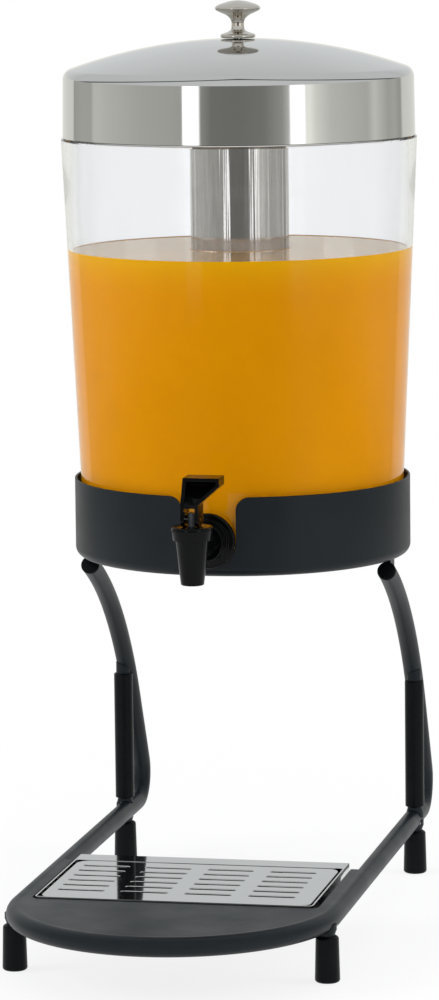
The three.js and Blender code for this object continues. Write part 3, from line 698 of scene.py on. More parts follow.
def side_line():
    """One leg and its base side as (behind, height, slope angle), from the leg's top to the front bend."""
    count = steps_for(leg_bend_radius * radians(leg_low_slope - leg_top_slope))
    slopes = [leg_top_slope + (leg_low_slope - leg_top_slope) * share for share in shares(count)]
    line = [(*leg_point(slope), -slope) for slope in slopes]
    bend_behind, bend_height = leg_point(leg_low_slope)
    low_angle = radians(leg_low_slope)
    heel_height = tube_height + heel_bend_radius
    straight_end = heel_height + heel_bend_radius * cos(low_angle)
    straight_behind = bend_behind + (bend_height - straight_end) / tan(low_angle)
    heel_behind = straight_behind - heel_bend_radius * sin(low_angle)
    for share in shares(arc_steps * 2):
        slope = leg_low_slope + (180 - leg_low_slope) * share
        behind = heel_behind + heel_bend_radius * sin(radians(slope))
        height = heel_height + heel_bend_radius * cos(radians(slope))
        line.append((behind, height, -slope))
    return line


def leg_line(sign):
    """(point, tangent) down one leg and its base side; the right one's tangents point the other way."""
    line = []
    for behind, height, slope in side_line():
        angle = radians(slope)
        point = axis + Vector((sign * tube_half_span, behind, height))
        line.append((point, -sign * Vector((0, cos(angle), sin(angle)))))
    return line


def loop_line():
    """(point, tangent) round the loop's front, from left to right."""
    line = []
    for share in shares(steps_for(pi * tube_half_span)):
        out = direction(pi + pi * share)
        point = axis + tube_half_span * out + Vector((0, -loop_ahead, tube_height))
        line.append((point, Vector((-out.y, out.x, 0))))
    return line


tube_line = leg_line(-1) + loop_line() + leg_line(1)[::-1]


def fat_tube():
    """A cutter that keeps the rods and sleeves just clear of the tube."""
    return swept("fat_tube", tube_line, tube_radius + fit)


def make_frame_tube():
    dress(swept("frame_tube_fine", tube_line, tube_radius), "frame_tube", paint, sharp_round)


def make_leg_caps():
    turn = Matrix.Rotation(radians(90 - leg_top_slope), 4, "X")
    top = fit + cap_rim
    profile = [(0, fit), (tube_radius, fit)]
    profile += rounded((tube_radius, top), cap_rim / 2, 0, rim_steps) + [(0, top)]
    for side, sign in (("left", -1), ("right", 1)):
        cap = turned(f"leg_cap_{side}_fine", profile, small_sides)
        place = axis + Vector((sign * tube_half_span, -leg_top_ahead, leg_top_height))
        dress(move(cap, place, turn), f"leg_cap_{side}", rubber, sharp_round)


def welded_end(height, away):
    """A rod's end, widened and long enough to hug the tube, which lies above (1) or below (-1)."""
    wide = rod_radius + weld_flare
    reach = height + away * saddle_depth
    return [
        (rod_radius, height - away * weld_height),
        (rod_radius + weld_flare / 3, height - away * weld_height / 2),
        (wide, height), (wide, reach), (0, reach),
    ]


def make_posts():
    inner, outer = rod_radius + fit, rod_radius + sleeve_wall
    soft = sleeve_wall / 3
    for side in ("left", "right"):
        rod, sleeve = f"post_rod_{side}", f"post_sleeve_{side}"
        place = level_middle(sleeve)
        rod_top = heights(rod)[1]
        profile = welded_end(tube_height + tube_radius - weld_height / 2, -1)[::-1]
        profile += [(rod_radius, rod_top), (0, rod_top)]
        dress(cut(shaped(rod, profile, place, small_sides), fat_tube()), rod, paint, sharp_round)
        bottom, top = heights(sleeve)
        profile = [(inner, bottom), (outer - soft, bottom), (outer, bottom + soft)]
        profile += [(outer, top - soft), (outer - soft, top), (inner, top)]
        dress(cut(shaped(sleeve, profile, place, small_sides), fat_tube()), sleeve, rubber, sharp_round)


def make_feet():
    bore = rod_radius + fit
    for name in ("front_left", "front_right", "rear_left", "rear_right"):
        rod, boot = f"foot_rod_{name}", f"foot_boot_{name}"
        low_corner, high_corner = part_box(boot)
        place = level_middle(boot)
        radius = (high_corner.x - low_corner.x) / 2
        top = high_corner.z
        rod_low = top - overrun + fit
        profile = [(0, 0), *rounded((radius, 0), boot_round, -90, roll_steps)]
        profile += [(radius - boot_lip / 2, top / 2)]
        profile += rounded((radius - boot_lip, top), boot_round, 0, roll_steps)
        profile += [(bore, top), (bore, top - overrun), (0, top - overrun)]
        dress(shaped(boot, profile, place, small_sides), boot, rubber, sharp_round)
        profile = [(0, rod_low), (rod_radius, rod_low)]
        profile += welded_end(tube_height - tube_radius + weld_height / 2, 1)
        dress(cut(shaped(rod, profile, place, small_sides), fat_tube()), rod, paint, sharp_round)


def notch_outline():
    out = flange_radius + notch_corner
    top = pan_high.z
    left = [(-out, top + overrun)] + arc((-out, top - notch_corner), notch_corner, 90, 0)
    low_arc = arc((0, tap_axis_z), flange_radius, 180, 360, arc_steps * 3)
    right = arc((out, top - notch_corner), notch_corner, 180, 90) + [(out, top + overrun)]
    return left + low_arc + right


def make_pan():
    radius = (pan_high.x - pan_low.x) / 2
    bottom, top = pan_low.z, pan_high.z
    centre = (radius - pan_corner, bottom + pan_corner)
    profile = [(0, bottom), *arc(centre, pan_corner, -90, 0), (radius, (top + centre[1]) / 2)]
    profile += rounded((radius, top), pan_lip, 0, lip_steps)
    profile += rounded((radius - pan_wall, top), pan_lip, 90, lip_steps)
    profile += arc(centre, pan_corner - pan_wall, 0, -90) + [(0, bottom + pan_wall)]
    pan = shaped("cradle_pan", profile, axis, turn_sides * 2)
    notch = prism("notch", notch_outline(), axis_y - radius - overrun, axis_y - radius / 2, facing)
    dress(cut(pan, move(notch, (axis_x, 0, 0))), "cradle_pan", paint)


def fillet_section():
    """The blend between the tube and the deck, as (distance inside the tube's centre line, height)."""
    rise = deck_top + deck_fillet - tube_height
    reach = sqrt((tube_radius + deck_fillet) ** 2 - rise ** 2)
    start = degrees(atan2(-rise, -reach))
    blend = arc((reach, deck_top + deck_fillet), deck_fillet, start, -90)
    under = deck_top - deck_sheet / 2
    return blend + [(reach, under), (blend[0][0], under)]


def make_deck():
    tray_low, tray_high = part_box("drip_tray")
    reach = (deck_high.x - deck_low.x) / 2
    rear = tray_high.y - arm_shortfall
    centre_y = axis_y - loop_ahead
    outline = [(-reach, rear)] + arc((0, centre_y), reach, 180, 360, arc_steps * 8) + [(reach, rear)]
    deck = prism("deck_plate_fine", outline, deck_top - deck_sheet, deck_top, flat)
    cut_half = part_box("tray_strap_front")[1].x - deck_sheet
    cut_front = tray_low.y - tray_front_gap
    outer = rectangle(-cut_half - deck_sheet, cut_half + deck_sheet, cut_front - deck_sheet, rear)
    inner = rectangle(-cut_half, cut_half, cut_front, rear + 2 * cutout_corner, cutout_corner - deck_sheet)
    well = prism("well", outer, deck_low.z, deck_top - deck_sheet / 2, flat)
    opening = prism("opening", inner, deck_low.z - overrun, deck_top + overrun, flat)
    deck = bevelled(cut(join(deck, well), opening), edge_bevel / 2, sheet_bevel_steps, sheet_bevel_angle)
    dress(deck, "deck_plate", paint, sharp_flat)
    make_deck_fillet(rear, centre_y)


def make_deck_fillet(rear, centre_y):
    """Runs the blend's section round the loop, from the left arm's end to the right arm's end."""
    section = fillet_section()
    stations = [(Vector((-tube_half_span, rear, 0)), Vector((1, 0, 0)))]
    for share in shares(arc_steps * 8):
        out = direction(pi + pi * share)
        stations.append((Vector((0, centre_y, 0)) + tube_half_span * out, -out))
    stations.append((Vector((tube_half_span, rear, 0)), Vector((-1, 0, 0))))
    vertices = []
    for place, inward in stations:
        vertices += [place + inward * d + Vector((0, 0, z)) for d, z in section]
    fillet = object_of("deck_fillet", vertices, run_faces(len(stations), len(section)))
    dress(fillet, "deck_plate", paint, sharp_round)


# Drip tray and grille

def make_tray():
    (left, front, bottom), (right, rear, rim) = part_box("drip_tray")
    basin_rear = rear - tray_ledge
    inset = tray_sheet
    basin = rectangle(left, right, front, basin_rear, tray_corner)
    ledge_outer = rectangle(left, right, basin_rear - tray_corner, rear)
    ledge_inner = rectangle(left + inset, right - inset, basin_rear - tray_corner - overrun, rear - inset)
    tray = prism("drip_tray_fine", ledge_outer, rim - tray_ledge_lip, rim, flat)
    cut(tray, prism("under", ledge_inner, rim - tray_ledge_lip - overrun, rim - inset, flat))
    join(tray, prism("basin", basin, bottom, rim, flat))
    inner = rectangle(left + inset, right - inset, front + inset, basin_rear - inset, tray_corner - inset)
    cut(tray, prism("pocket", inner, bottom + inset, rim + overrun, flat))
    bevelled(tray, edge_bevel / 2, sheet_bevel_steps, sheet_bevel_angle)
    dress(tray, "drip_tray", tray_steel, sharp_flat)


def slot_outline(x, y):
    half = (slot_length - slot_width) / 2
    radius = slot_width / 2
    return arc((x + half, y), radius, -90, 90, soft_steps) + arc((x - half, y), radius, 90, 270, soft_steps)


def sheet_curve(name, outlines, thickness, bevel):
    """A flat sheet with holes and softened edges, from closed outlines; the first is its rim."""
    curve = bpy.data.curves.new(name, "CURVE")
    curve.dimensions = "2D"
    curve.fill_mode = "BOTH"
    curve.extrude = thickness / 2 - bevel
    curve.bevel_depth = bevel
    curve.bevel_resolution = sheet_bevel_steps
    curve.offset = -bevel
    for outline in outlines:
        spline = curve.splines.new("POLY")
        spline.points.add(len(outline) - 1)
        for point, (x, y) in zip(spline.points, outline):
            point.co = (x, y, 0, 1)
        spline.use_cyclic_u = True
    source = placed(name, curve)
    mesh = evaluated_mesh(source)
    bpy.data.objects.remove(source)
    return tidied(placed(name, mesh))


def make_grille():
    (left, front, bottom), (right, rear, top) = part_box("drip_grille")
    middle = (left + right) / 2 - slot_offset
    outlines = [rectangle(left, right, front, rear, grille_corner)]
    for column in range(slot_columns):
        x = middle + (column - (slot_columns - 1) / 2) * slot_column_pitch
        for row in range(slot_rows):
            outlines.append(slot_outline(x, rear - slot_end_margin - row * slot_row_pitch))
    sheet = sheet_curve("drip_grille_fine", outlines, grille_sheet, edge_bevel)
    dress(move(sheet, (0, 0, top - grille_sheet / 2)), "drip_grille", tray_steel, sharp_sheet)
    for side, y in (("front", front), ("rear", rear - grille_sheet)):
        outline = rectangle(left + grille_corner, right - grille_corner, y, y + grille_sheet)
        fold = prism(f"grille_fold_{side}", outline, bottom, top - grille_sheet, flat)
        dress(fold, "drip_grille", tray_steel)


# Container, juice and ice tube

def along_shank(piece):
    """Lays a piece that is turned about Z ahead along the tap's shank."""
    return move(piece, axis + Vector((0, 0, tap_axis_z)), ahead)


def wall_radius(height):
    share = (height - container_bottom) / (shoulder_height - container_bottom)
    return base_radius + (rim_radius - base_radius) * share


def inner_wall(swell):
    """The container's inner surface from the neck down to the floor, let out by a swell."""
    step_high = shoulder_height - step_depth
    neck_inner = neck_radius - neck_wall + swell
    body_inner = wall_radius(step_high - step_height) - body_wall + swell
    blend = []
    for share in shares(2 * arc_steps):
        ease = (1 - cos(pi * share)) / 2
        blend.append((neck_inner + (body_inner - neck_inner) * ease, step_high - step_height * share))
    floor = floor_top - swell
    corner_radius = wall_radius(floor) - body_wall - base_corner + swell
    return blend + arc((corner_radius, floor + base_corner), base_corner, 0, -90)


def tap_hole():
    """A cutter for the shank's hole through the container's front wall."""
    return along_shank(cylinder("tap_hole", shank_radius + fit, 0, rim_radius))


def make_container():
    neck_inner = neck_radius - neck_wall
    locator_inner = ice_radius + 2 * fit
    locator_outer = locator_inner + locator_wall
    soft = locator_wall / 3
    locator_top = floor_top + locator_height
    ring = flange_radius / 2
    profile = [(0, container_bottom), *rounded((base_radius, container_bottom), base_corner, -90)]
    profile += [(wall_radius(z), z) for z in (tap_axis_z - ring, tap_axis_z + ring)]
    profile += [(rim_radius, shoulder_height - ledge_round), (rim_radius - ledge_round, shoulder_height)]
    profile += [(neck_radius + ledge_round, shoulder_height), (neck_radius, shoulder_height + ledge_round)]
    profile += rounded((neck_radius, neck_top), neck_round, 0, rim_steps)
    profile += rounded((neck_inner, neck_top), neck_round, 90, rim_steps)
    profile += inner_wall(0) + [(locator_outer, floor_top), (locator_outer - soft, locator_top)]
    profile += [(locator_inner + soft, locator_top), (locator_inner, floor_top), (0, floor_top)]
    dress(cut(shaped("container", profile, axis), tap_hole()), "container", clear, sharp_wall)


def make_juice():
    """The filling wets the wall: it reaches just into it, so that no air shows between them."""
    top = juice_level
    wall = wall_radius(top) - body_wall + juice_wetting
    core = ice_radius + fit
    locator_outer = ice_radius + locator_wall + 3 * fit
    ring_top = floor_top + locator_height + fit
    near_wall = [
        (wall - meniscus_width * (1 - share), top + meniscus_height * share ** 3)
        for share in shares(arc_steps)
    ]
    near_core = [
        (core + meniscus_width * (1 - share) / 2, top + meniscus_height * share ** 3 / 2)
        for share in shares(arc_steps)[::-1]
    ]
    profile = near_core + near_wall + inner_wall(juice_wetting)[-arc_steps - 1:]
    profile += [(locator_outer, floor_top + fit), (locator_outer, ring_top), (core, ring_top)]
    filling = cut(shaped("juice", profile, axis), tap_space())
    dress(filling, "juice", orange_wetting, sharp_round)
    filling.data.materials.append(orange_surface)
    for face in filling.data.polygons:
        if face.center.z > top - meniscus_height:
            face.material_index = 1


def tap_space():
    """The room that the inner seal, the nut and the shank take in the juice."""
    nut_low, nut_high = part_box("tap_nut")
    body_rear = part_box("tap_body")[1].y
    nut_radius = (nut_high.z - nut_low.z) / 2 + fit
    back = axis_y - nut_high.y - fit
    tail = axis_y - body_rear - fit
    profile = [(0, tail), (shank_radius + fit, tail), (shank_radius + fit, back), (nut_radius, back)]
    profile += [(nut_radius, rim_radius), (0, rim_radius)]
    return along_shank(turned("tap_space", profile, small_sides))


def make_ice_tube():
    low_z, high_z = heights("ice_tube")
    centre = (ice_radius - ice_floor_round, low_z + ice_floor_round)
    roll = ice_lip / 2
    profile = [(0, low_z), *arc(centre, ice_floor_round, -90, 0), (ice_radius, high_z - 2 * roll)]
    profile += arc((ice_radius + roll, high_z - roll), roll, -90, 90, roll_steps)
    profile += [(ice_radius - ice_wall, high_z)]
    profile += arc(centre, ice_floor_round - ice_wall, 0, -90) + [(0, low_z + ice_wall)]
    dress(shaped("ice_tube", profile, axis), "ice_tube", drawn, sharp_round)


# Lid and knob

# Rings close to the skirt's ends keep its reflections straight
skirt_ring_shares = (0.02, 0.04, 0.5, 0.94, 0.96)


def lid_surface(inset):
    """The lid's surface from its apex to the skirt's edge, inside the outer face by a sheet's thickness."""
    bottom = heights("lid_shell")[0]
    tilt = asin((skirt_top_radius - shoulder_radius) / (dome_radius - shoulder_radius))
    dome_centre = dome_top - dome_radius
    corner_height = dome_centre + (dome_radius - shoulder_radius) * cos(tilt)
    corner = (skirt_top_radius - shoulder_radius, corner_height)
    turn = 90 - degrees(tilt)
    dome = arc((0, dome_centre), dome_radius - inset, 90, turn, dome_steps)
    shoulder = arc(corner, shoulder_radius - inset, turn, 0, shoulder_steps)[1:]
    top_edge = shoulder[-1][1]
    fall = top_edge - bottom
    skirt = [
        (skirt_top_radius + (skirt_radius - skirt_top_radius) * share - inset, top_edge - fall * share)
        for share in skirt_ring_shares
    ]
    return dome + shoulder + skirt + [(skirt_radius - inset, bottom + lid_hem)]


def make_lid():
    bottom = heights("lid_shell")[0]
    outer = lid_surface(0)
    inner = lid_surface(lid_sheet)
    outer[0] = (knob_bore, outer[0][1])
    inner[0] = (knob_bore, inner[0][1])
    hem = [(skirt_radius - lid_hem / 2, bottom), (skirt_radius - lid_sheet - lid_hem / 2, bottom)]
    lid = shaped("lid_shell", outer + hem + inner[::-1], axis, turn_sides * 2)
    dress(lid, "lid_shell", mirror)


# The knob's outline from its base's edge to its crown, as shares of its radius and its height
knob_shares = [
    (0.700, 0), (0.752, 0.012), (0.772, 0.045), (0.764, 0.080), (0.715, 0.105), (0.610, 0.125),
    (0.465, 0.155), (0.350, 0.195), (0.299, 0.236), (0.278, 0.316), (0.278, 0.400), (0.299, 0.464),
    (0.347, 0.519), (0.417, 0.561), (0.542, 0.616), (0.729, 0.667), (0.917, 0.722), (0.986, 0.759),
    (1, 0.789), (0.972, 0.827), (0.847, 0.880), (0.597, 0.932), (0.312, 0.978), (0, 1),
]


def make_knob():
    low_z, high_z = heights("lid_knob")
    profile = [(knob_radius * r, low_z + (high_z - low_z) * h) for r, h in smooth_line(knob_shares)]
    bore = [(0, low_z + knob_bore_depth), (knob_bore, low_z + knob_bore_depth), (knob_bore, low_z)]
    dress(shaped("lid_knob", profile + bore, axis, small_sides * 2), "lid_knob", nickel, sharp_knob)


# Tap

def distance_ahead(y):
    return axis_y - y


def make_flange():
    flange_low, flange_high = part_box("tap_flange")
    back, step = distance_ahead(flange_high.y), distance_ahead(flange_low.y)
    face = (pan_high.x - pan_low.x) / 2 + fit
    front = face + flange_thickness
    hub = front + hub_thickness
    bore = shank_radius + fit
    half, third = flange_round / 2, flange_round / 3
    profile = [(bore, back), (seal_radius, back), (seal_radius, face), (flange_radius, face)]
    profile += rounded((flange_radius, front), flange_round, 0, soft_steps)
    profile += arc((hub_radius + half, front + half), half, 270, 180, lip_steps)
    profile += rounded((hub_radius, hub), half, 0, lip_steps)
    profile += arc((hub_step_radius + third, hub + third), third, 270, 180, lip_steps)
    profile += rounded((hub_step_radius, step), half, 0, lip_steps) + [(bore, step)]
    flange = along_shank(turned("tap_flange_fine", profile, small_sides * 2))
    dress(flange, "tap_flange", black_gloss, sharp_round)


def make_tap_body():
    body_low, body_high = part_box("tap_body")
    flange_front = distance_ahead(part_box("tap_flange")[0].y) + fit
    tail = distance_ahead(body_high.y)
    spout_ahead = distance_ahead(spout_axis.y)
    tip, collar_top = body_low.z, body_high.z
    shoulder = bonnet_low - fit
    past = collar_top + overrun
    cone = [(0, tip), *rounded((spout_tip_radius, tip), spout_round, -90, soft_steps)]
    cone += [(spout_top_radius, shoulder), (collar_radius, shoulder)]
    cone += [(collar_radius, collar_top), (0, collar_top)]
    body = shaped("tap_body", cone, spout_axis, small_sides * 2)
    room_radius = bonnet_top_radius + fit
    room = [(collar_radius, shoulder), (room_radius, shoulder), (room_radius, past), (collar_radius, past)]
    floor = tip + chamber_floor_rise
    inside = [(0, tip - overrun), (outlet_radius, tip - overrun), (outlet_radius, floor)]
    inside += [(chamber_radius, floor), (chamber_radius, past), (0, past)]
    join(body, along_shank(cylinder("barrel", barrel_radius, flange_front, spout_ahead)))
    join(body, along_shank(cylinder("shank", shank_radius, tail, spout_ahead - chamber_radius)))
    cut(body, move(turned("bonnet_room", room, small_sides * 2), spout_axis))
    cut(body, move(turned("spout_inside", inside, small_sides), spout_axis))
    cut(body, along_shank(cylinder("bore", shank_bore, tail - overrun, spout_ahead)))
    dress(body, "tap_body", black_gloss, sharp_spout)


def make_bonnet():
    top = heights("tap_bonnet")[1]
    inner = collar_radius + fit
    hole = stem_radius + fit
    bevel = bonnet_bevel
    profile = [(inner, bonnet_low), (bonnet_low_radius, bonnet_low)]
    profile += [(bonnet_top_radius, top - 2 * bevel), (bonnet_top_radius, top - bevel)]
    profile += arc((bonnet_top_radius - bevel, top - bevel), bevel, bonnet_edge_start, 90, soft_steps)
    profile += [(hole, top), (hole, top - bonnet_plate), (inner, top - bonnet_plate)]
    bonnet = shaped("tap_bonnet", profile, spout_axis, small_sides * 2)
    dress(bonnet, "tap_bonnet", black_gloss, sharp_spout)


def lever_outline(inset, top, reach):
    half = lever_width / 2
    corner_low = top - lever_tip_height + inset / 2
    return [
        (-half + inset, 0), (-half + inset, lever_neck_height), (-half + lever_lean + inset, top - inset),
        (reach - inset, top - inset), (reach - inset, corner_low),
        (half - inset, lever_neck_height + inset / 2), (half - inset, 0),
    ]


def make_lever():
    lever_low, lever_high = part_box("tap_lever")
    half_depth = (lever_high.y - lever_low.y) / 2
    height = lever_high.z - lever_low.z
    reach = lever_high.x - axis_x
    body = prism("tap_lever_fine", lever_outline(0, height, reach), -half_depth, half_depth, facing)
    side = [(-half_depth, height + overrun)]
    side += arc((-half_depth + lever_heel, lever_heel), lever_heel, 180, 270)
    side += arc((half_depth - lever_heel, lever_heel), lever_heel, 270, 360)
    side += [(half_depth, height + overrun)]
    combine(body, prism("heels", side, -reach - overrun, reach + overrun, sideways), "INTERSECT")
    inner = lever_width / 2 - lever_wall
    slot = rectangle(-inner, inner, -overrun, lever_slot_height)
    cut(body, prism("slot", slot, -half_depth - overrun, half_depth + overrun, facing))
    scoop_top = height - lever_wall
    scoop = [
        (-half_depth - overrun, lever_neck_height - overrun), (-half_depth, lever_neck_height),
        (-half_depth + lever_scoop, scoop_top - lever_scoop / 3), (-half_depth, scoop_top),
        (-half_depth - overrun, scoop_top + lever_scoop / 6),
    ]
    pocket = prism("pocket", scoop, -reach - overrun, reach + overrun, sideways)
    mouth = lever_outline(lever_wall, height, reach)
    combine(pocket, prism("mouth", mouth, -half_depth - 2 * overrun, half_depth, facing), "INTERSECT")
    cut(body, pocket)
    pin_hole = cylinder("pin_hole", pin_radius + fit, -reach, reach, small_sides // 2)
    cut(body, move(pin_hole, (0, 0, lever_heel), Matrix.Rotation(radians(90), 4, "Y")))
    bevelled(body, lever_round, bevel_steps, sharp_angle)
    dress(move(body, (spout_axis.x, spout_axis.y, lever_low.z)), "tap_lever", black_gloss, sharp_lever)


def make_spring():
    """The closing spring, which the stem squashes against the bonnet's fixed end of it."""
    low_end, high_end = heights("tap_spring")
    first, last = low_end + spring_wire, high_end - spring_wire
    climb = (last - first) / (2 * pi * spring_turns * spring_radius)
    line = []
    for share in shares(spring_turns * small_sides // 2):
        out = direction(2 * pi * spring_turns * share)
        point = spout_axis + spring_radius * out + Vector((0, 0, first + (last - first) * share))
        line.append((point, Vector((-out.y, out.x, climb)).normalized()))
    coil = swept("tap_spring_fine", line, spring_wire, arc_steps)
    dress(coil, "tap_spring", mirror, sharp_coil)
    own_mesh(coil)


tap_low, tap_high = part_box("tap_flange")
tap_axis_z = (tap_low.z + tap_high.z) / 2
bonnet_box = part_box("tap_bonnet")
spout_axis = Vector((axis_x, (bonnet_box[0].y + bonnet_box[1].y) / 2, 0))
bonnet_low = bonnet_box[0].z
dome_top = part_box("lid_knob")[0].z - fit

make_frame_tube()
make_leg_caps()
make_posts()
make_feet()
make_pan()
make_deck()
make_tray()
make_grille()
make_container()
make_juice()
make_ice_tube()
make_lid()
make_knob()
make_flange()
make_tap_body()
make_bonnet()
make_lever()
make_spring()

# CAD nodes that show as they are, with their material
kept_nodes = [
    (paint, ("pan_gusset_left", "pan_gusset_right", "tray_strap_front", "tray_strap_rear")),
    (mirror, ("knob_screw", "knob_washer", "tap_pivot_pin")),
    (seal_white, ("tap_seal_outer", "tap_seal_inner", "tap_seat_cup")),
    (black_gloss, ("tap_nut",)),
    (stem_grey, ("tap_stem",)),
]
for material, nodes in kept_nodes:
    for node in nodes:
        keep_node(node, material)


# Studio: a pale floor in a light tent, which is darker before the object and has two bright strips there

floor_radius = 1.2
floor_fade_start = 0.25
floor_fade_end = 0.8
floor_nearest_white = 0.84
wall_top = 0.095
wall_edge = 0.015
low_wall_top = -0.16
low_wall_edge = 0.03
low_wall_share = 0.3
strip_light = 2.1
seam_lean = 0.62
seam_lean_fall = 0.0052
seam_round = 30
seam_reach = 0.07
seam_light = 0.15

# Brightness of the tent's walls round the object, as (degrees from the camera, clockwise, brightness)
wall_lights = [
    (-180, 0.84), (-138, 0.88), (-137, 0.45), (-134, 0.50), (-124, 0.56), (-112, 0.56), (-110, 0.76),
    (-103, 0.76), (-97, 0.72), (-68, 0.60), (-46, 0.56), (-30, 0.50), (-24, 0.37), (-18, 0.25), (0, 0.24),
    (16, 0.27), (28, 0.43), (31, 0.62), (46, 1.30), (51, 1.0), (62, 0.76), (92, 0.62), (99, 0.82),
    (106, 0.68), (114, 0.54), (122, 0.58), (130, 0.46), (132, 0.50), (134, 0.86), (180, 0.84),
]
# Where the two strips lie, as (degrees from the camera, clockwise, share of their brightness)
strip_shares = [(-38, 0), (-37, 1), (-26, 1), (-25, 0), (32, 0), (33, 1), (43, 1), (45, 0)]
# Brightness of the tent above the walls, as (how far towards the camera a direction points, brightness)
tent_lights = [
    (-1, 0.74), (-0.96, 0.78), (-0.88, 0.79), (-0.74, 0.73), (-0.60, 0.79), (0.20, 0.80), (1, 0.84),
]
# Colours of the walls and of the tent above them
wall_tint = (1.0, 1.0, 0.94)
tent_tint = (0.975, 1.0, 1.01)

# Lamps, as (name, azimuth from the object's front, elevation, distance, size, watts)
lamp_turn = 75
lamp_aim_height = 0.30
lamps = [
    ("left", camera_azimuth - lamp_turn, 25, 2.6, 1.2, 33),
    ("right", camera_azimuth + lamp_turn, 25, 2.6, 1.2, 28),
    ("overhead", 0, 84, 2.2, 1.8, 8),
]


def floor_white(tree):
    return {
        "Base Color": tinted(tree, noise(tree, even, 3, 2), (0.83, 0.83, 0.83), (0.86, 0.86, 0.86)),
        "Roughness": 0.9,
        "Specular IOR Level": 0.1,
    }


def make_floor():
    """A pale floor, which fades into the background's white away from the object."""
    floor = move(cylinder("floor", floor_radius, -overrun, 0, turn_sides), (0, 0, -fit / 2))
    material = new_material("floor_white", floor_white)
    tree = material.node_tree
    distance = make_node(tree, "VectorMath", {0: own_place(tree)}, operation="LENGTH")
    fade = spread(tree, distance.outputs["Value"], floor_nearest_white, 1, floor_fade_start, floor_fade_end)
    rays = make_node(tree, "LightPath").outputs
    seen = reckoned(tree, "MAXIMUM", rays["Is Camera Ray"], rays["Is Transmission Ray"])
    seen = reckoned(tree, "MAXIMUM", seen, rays["Is Glossy Ray"])
    white = make_node(tree, "Emission", {"Color": (1, 1, 1, 1), "Strength": 1})
    share = reckoned(tree, "MULTIPLY", fade, seen)
    surface = tree.nodes["Principled BSDF"]
    both = {0: share, 1: surface.outputs["BSDF"], 2: white.outputs["Emission"]}
    mixed = make_node(tree, "MixShader", both)
    give(tree, tree.nodes["Material Output"], {"Surface": mixed.outputs["Shader"]})
    floor.data.materials.append(material)


def grey_ramp(tree, source, stops, start, end):
    """A ramp of greys between two values of the source; each stop is (value, brightness)."""
    greys = [((value - start) / (end - start), (grey, grey, grey)) for value, grey in stops]
    return ramped(tree, spread(tree, source, 0, 1, start, end), greys)


def tinted_light(tree, light, tint):
    return make_node(tree, "VectorMath", {0: light, 1: tint}, operation="MULTIPLY").outputs[0]


def scaled(tree, light, factor):
    return make_node(tree, "VectorMath", {0: light, "Scale": factor}, operation="SCALE").outputs[0]


def tent_seam(tree, towards, height, bearing):
    """A dark line round the tent, at the directions in which the lid's round shoulder shows it as one line.

    The line's place goes by how far back a mirror leans that shows it, less and less round the sides.
    """
    opened = reckoned(tree, "SQRT", reckoned(tree, "MULTIPLY", reckoned(tree, "ADD", towards, 1), 2))
    lean = reckoned(tree, "DIVIDE", height, opened)
    squared = reckoned(tree, "MULTIPLY", bearing, bearing)
    eased = reckoned(tree, "SQRT", reckoned(tree, "ADD", squared, seam_round ** 2))
    round_fall = reckoned(tree, "MULTIPLY", reckoned(tree, "SUBTRACT", eased, seam_round), seam_lean_fall)
    off_seam = reckoned(tree, "SUBTRACT", reckoned(tree, "ADD", lean, round_fall), seam_lean)
    return spread(tree, reckoned(tree, "ABSOLUTE", off_seam), seam_light, 1, seam_reach / 2, seam_reach)


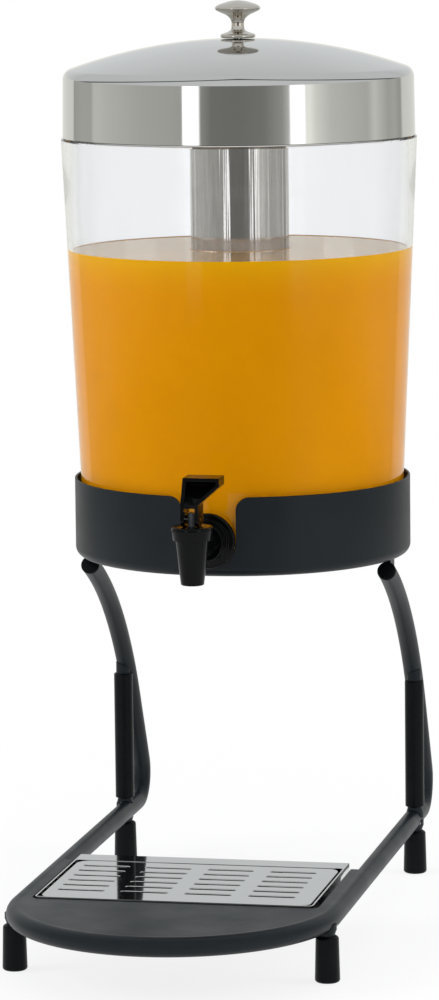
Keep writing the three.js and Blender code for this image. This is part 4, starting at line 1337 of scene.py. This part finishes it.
def make_world():
    """The tent, which lights the object and shows in its mirrors. What shows behind it is plain white."""
    world = bpy.data.worlds.new("studio")
    bpy.context.scene.world = world
    world.use_nodes = True
    tree = world.node_tree
    place = make_node(tree, "TexCoord").outputs["Generated"]
    facing_camera = {"Vector": place, "Angle": -radians(camera_azimuth)}
    turn = make_node(tree, "VectorRotate", facing_camera, rotation_type="Z_AXIS")
    split = make_node(tree, "SeparateXYZ", {0: turn.outputs["Vector"]})
    height = split.outputs["Z"]
    towards = reckoned(tree, "MULTIPLY", split.outputs["Y"], -1)
    bearing = reckoned(tree, "DEGREES", reckoned(tree, "ARCTAN2", split.outputs["X"], towards))
    low_wall = spread(tree, height, low_wall_share, 1, low_wall_top - low_wall_edge, low_wall_top)
    walls = scaled(tree, grey_ramp(tree, bearing, wall_lights, -180, 180), low_wall)
    strip_reach = spread(tree, height, 0, strip_light, low_wall_top - low_wall_edge, low_wall_top)
    strips = reckoned(tree, "MULTIPLY", grey_ramp(tree, bearing, strip_shares, -180, 180), strip_reach)
    lit_walls = blended(tree, 1, tinted_light(tree, walls, wall_tint), strips, blend_type="LIGHTEN")
    tent = tinted_light(tree, grey_ramp(tree, towards, tent_lights, -1, 1), tent_tint)
    tent = scaled(tree, tent, tent_seam(tree, towards, height, bearing))
    room = blended(tree, spread(tree, height, 0, 1, wall_top, wall_top + wall_edge), lit_walls, tent)
    rays = make_node(tree, "LightPath").outputs
    unmirrored = reckoned(tree, "LESS_THAN", rays["Glossy Depth"], 0.5)
    through = reckoned(tree, "MULTIPLY", rays["Is Transmission Ray"], unmirrored)
    seen = reckoned(tree, "MAXIMUM", rays["Is Camera Ray"], through)
    give(tree, tree.nodes["Background"], {"Color": blended(tree, seen, room, (1, 1, 1, 1)), "Strength": 1})


def make_lamp(name, azimuth, elevation, distance, size, watts):
    """A soft lamp, aimed at the object. Mirrors don't show it, as the walls and strips stand for it there."""
    climb = radians(elevation)
    towards = direction(radians(azimuth - 90)) * cos(climb) + Vector((0, 0, sin(climb)))
    light = bpy.data.lights.new(name, "AREA")
    light.shape = "RECTANGLE"
    light.size = size
    light.size_y = size
    light.energy = watts
    lamp = placed(name, light)
    lamp.location = axis + Vector((0, 0, lamp_aim_height)) + towards * distance
    lamp.rotation_euler = (-towards).to_track_quat("-Z", "Y").to_euler()
    lamp.visible_glossy = False


def make_camera():
    azimuth, elevation, roll = (radians(v) for v in (camera_azimuth, camera_elevation, camera_roll))
    right = direction(azimuth)
    level = Vector((-right.y, right.x, 0))
    forward = level * cos(elevation) - Vector((0, 0, sin(elevation)))
    up = right.cross(forward)
    rolled_right = cos(roll) * right + sin(roll) * up
    rolled_up = -sin(roll) * right + cos(roll) * up
    aim = axis + aim_right * right + Vector((0, 0, aim_height))
    lens = bpy.data.cameras.new("camera")
    lens.lens = camera_focal_pixels * lens.sensor_width / image_height
    camera = placed("camera", lens)
    turn = Matrix((rolled_right, rolled_up, -forward)).transposed().to_4x4()
    camera.matrix_world = Matrix.Translation(aim - forward * camera_distance) @ turn
    bpy.context.scene.camera = camera


make_floor()
make_world()
for lamp in lamps:
    make_lamp(*lamp)
make_camera()
bpy.context.scene.view_settings.view_transform = "Standard"
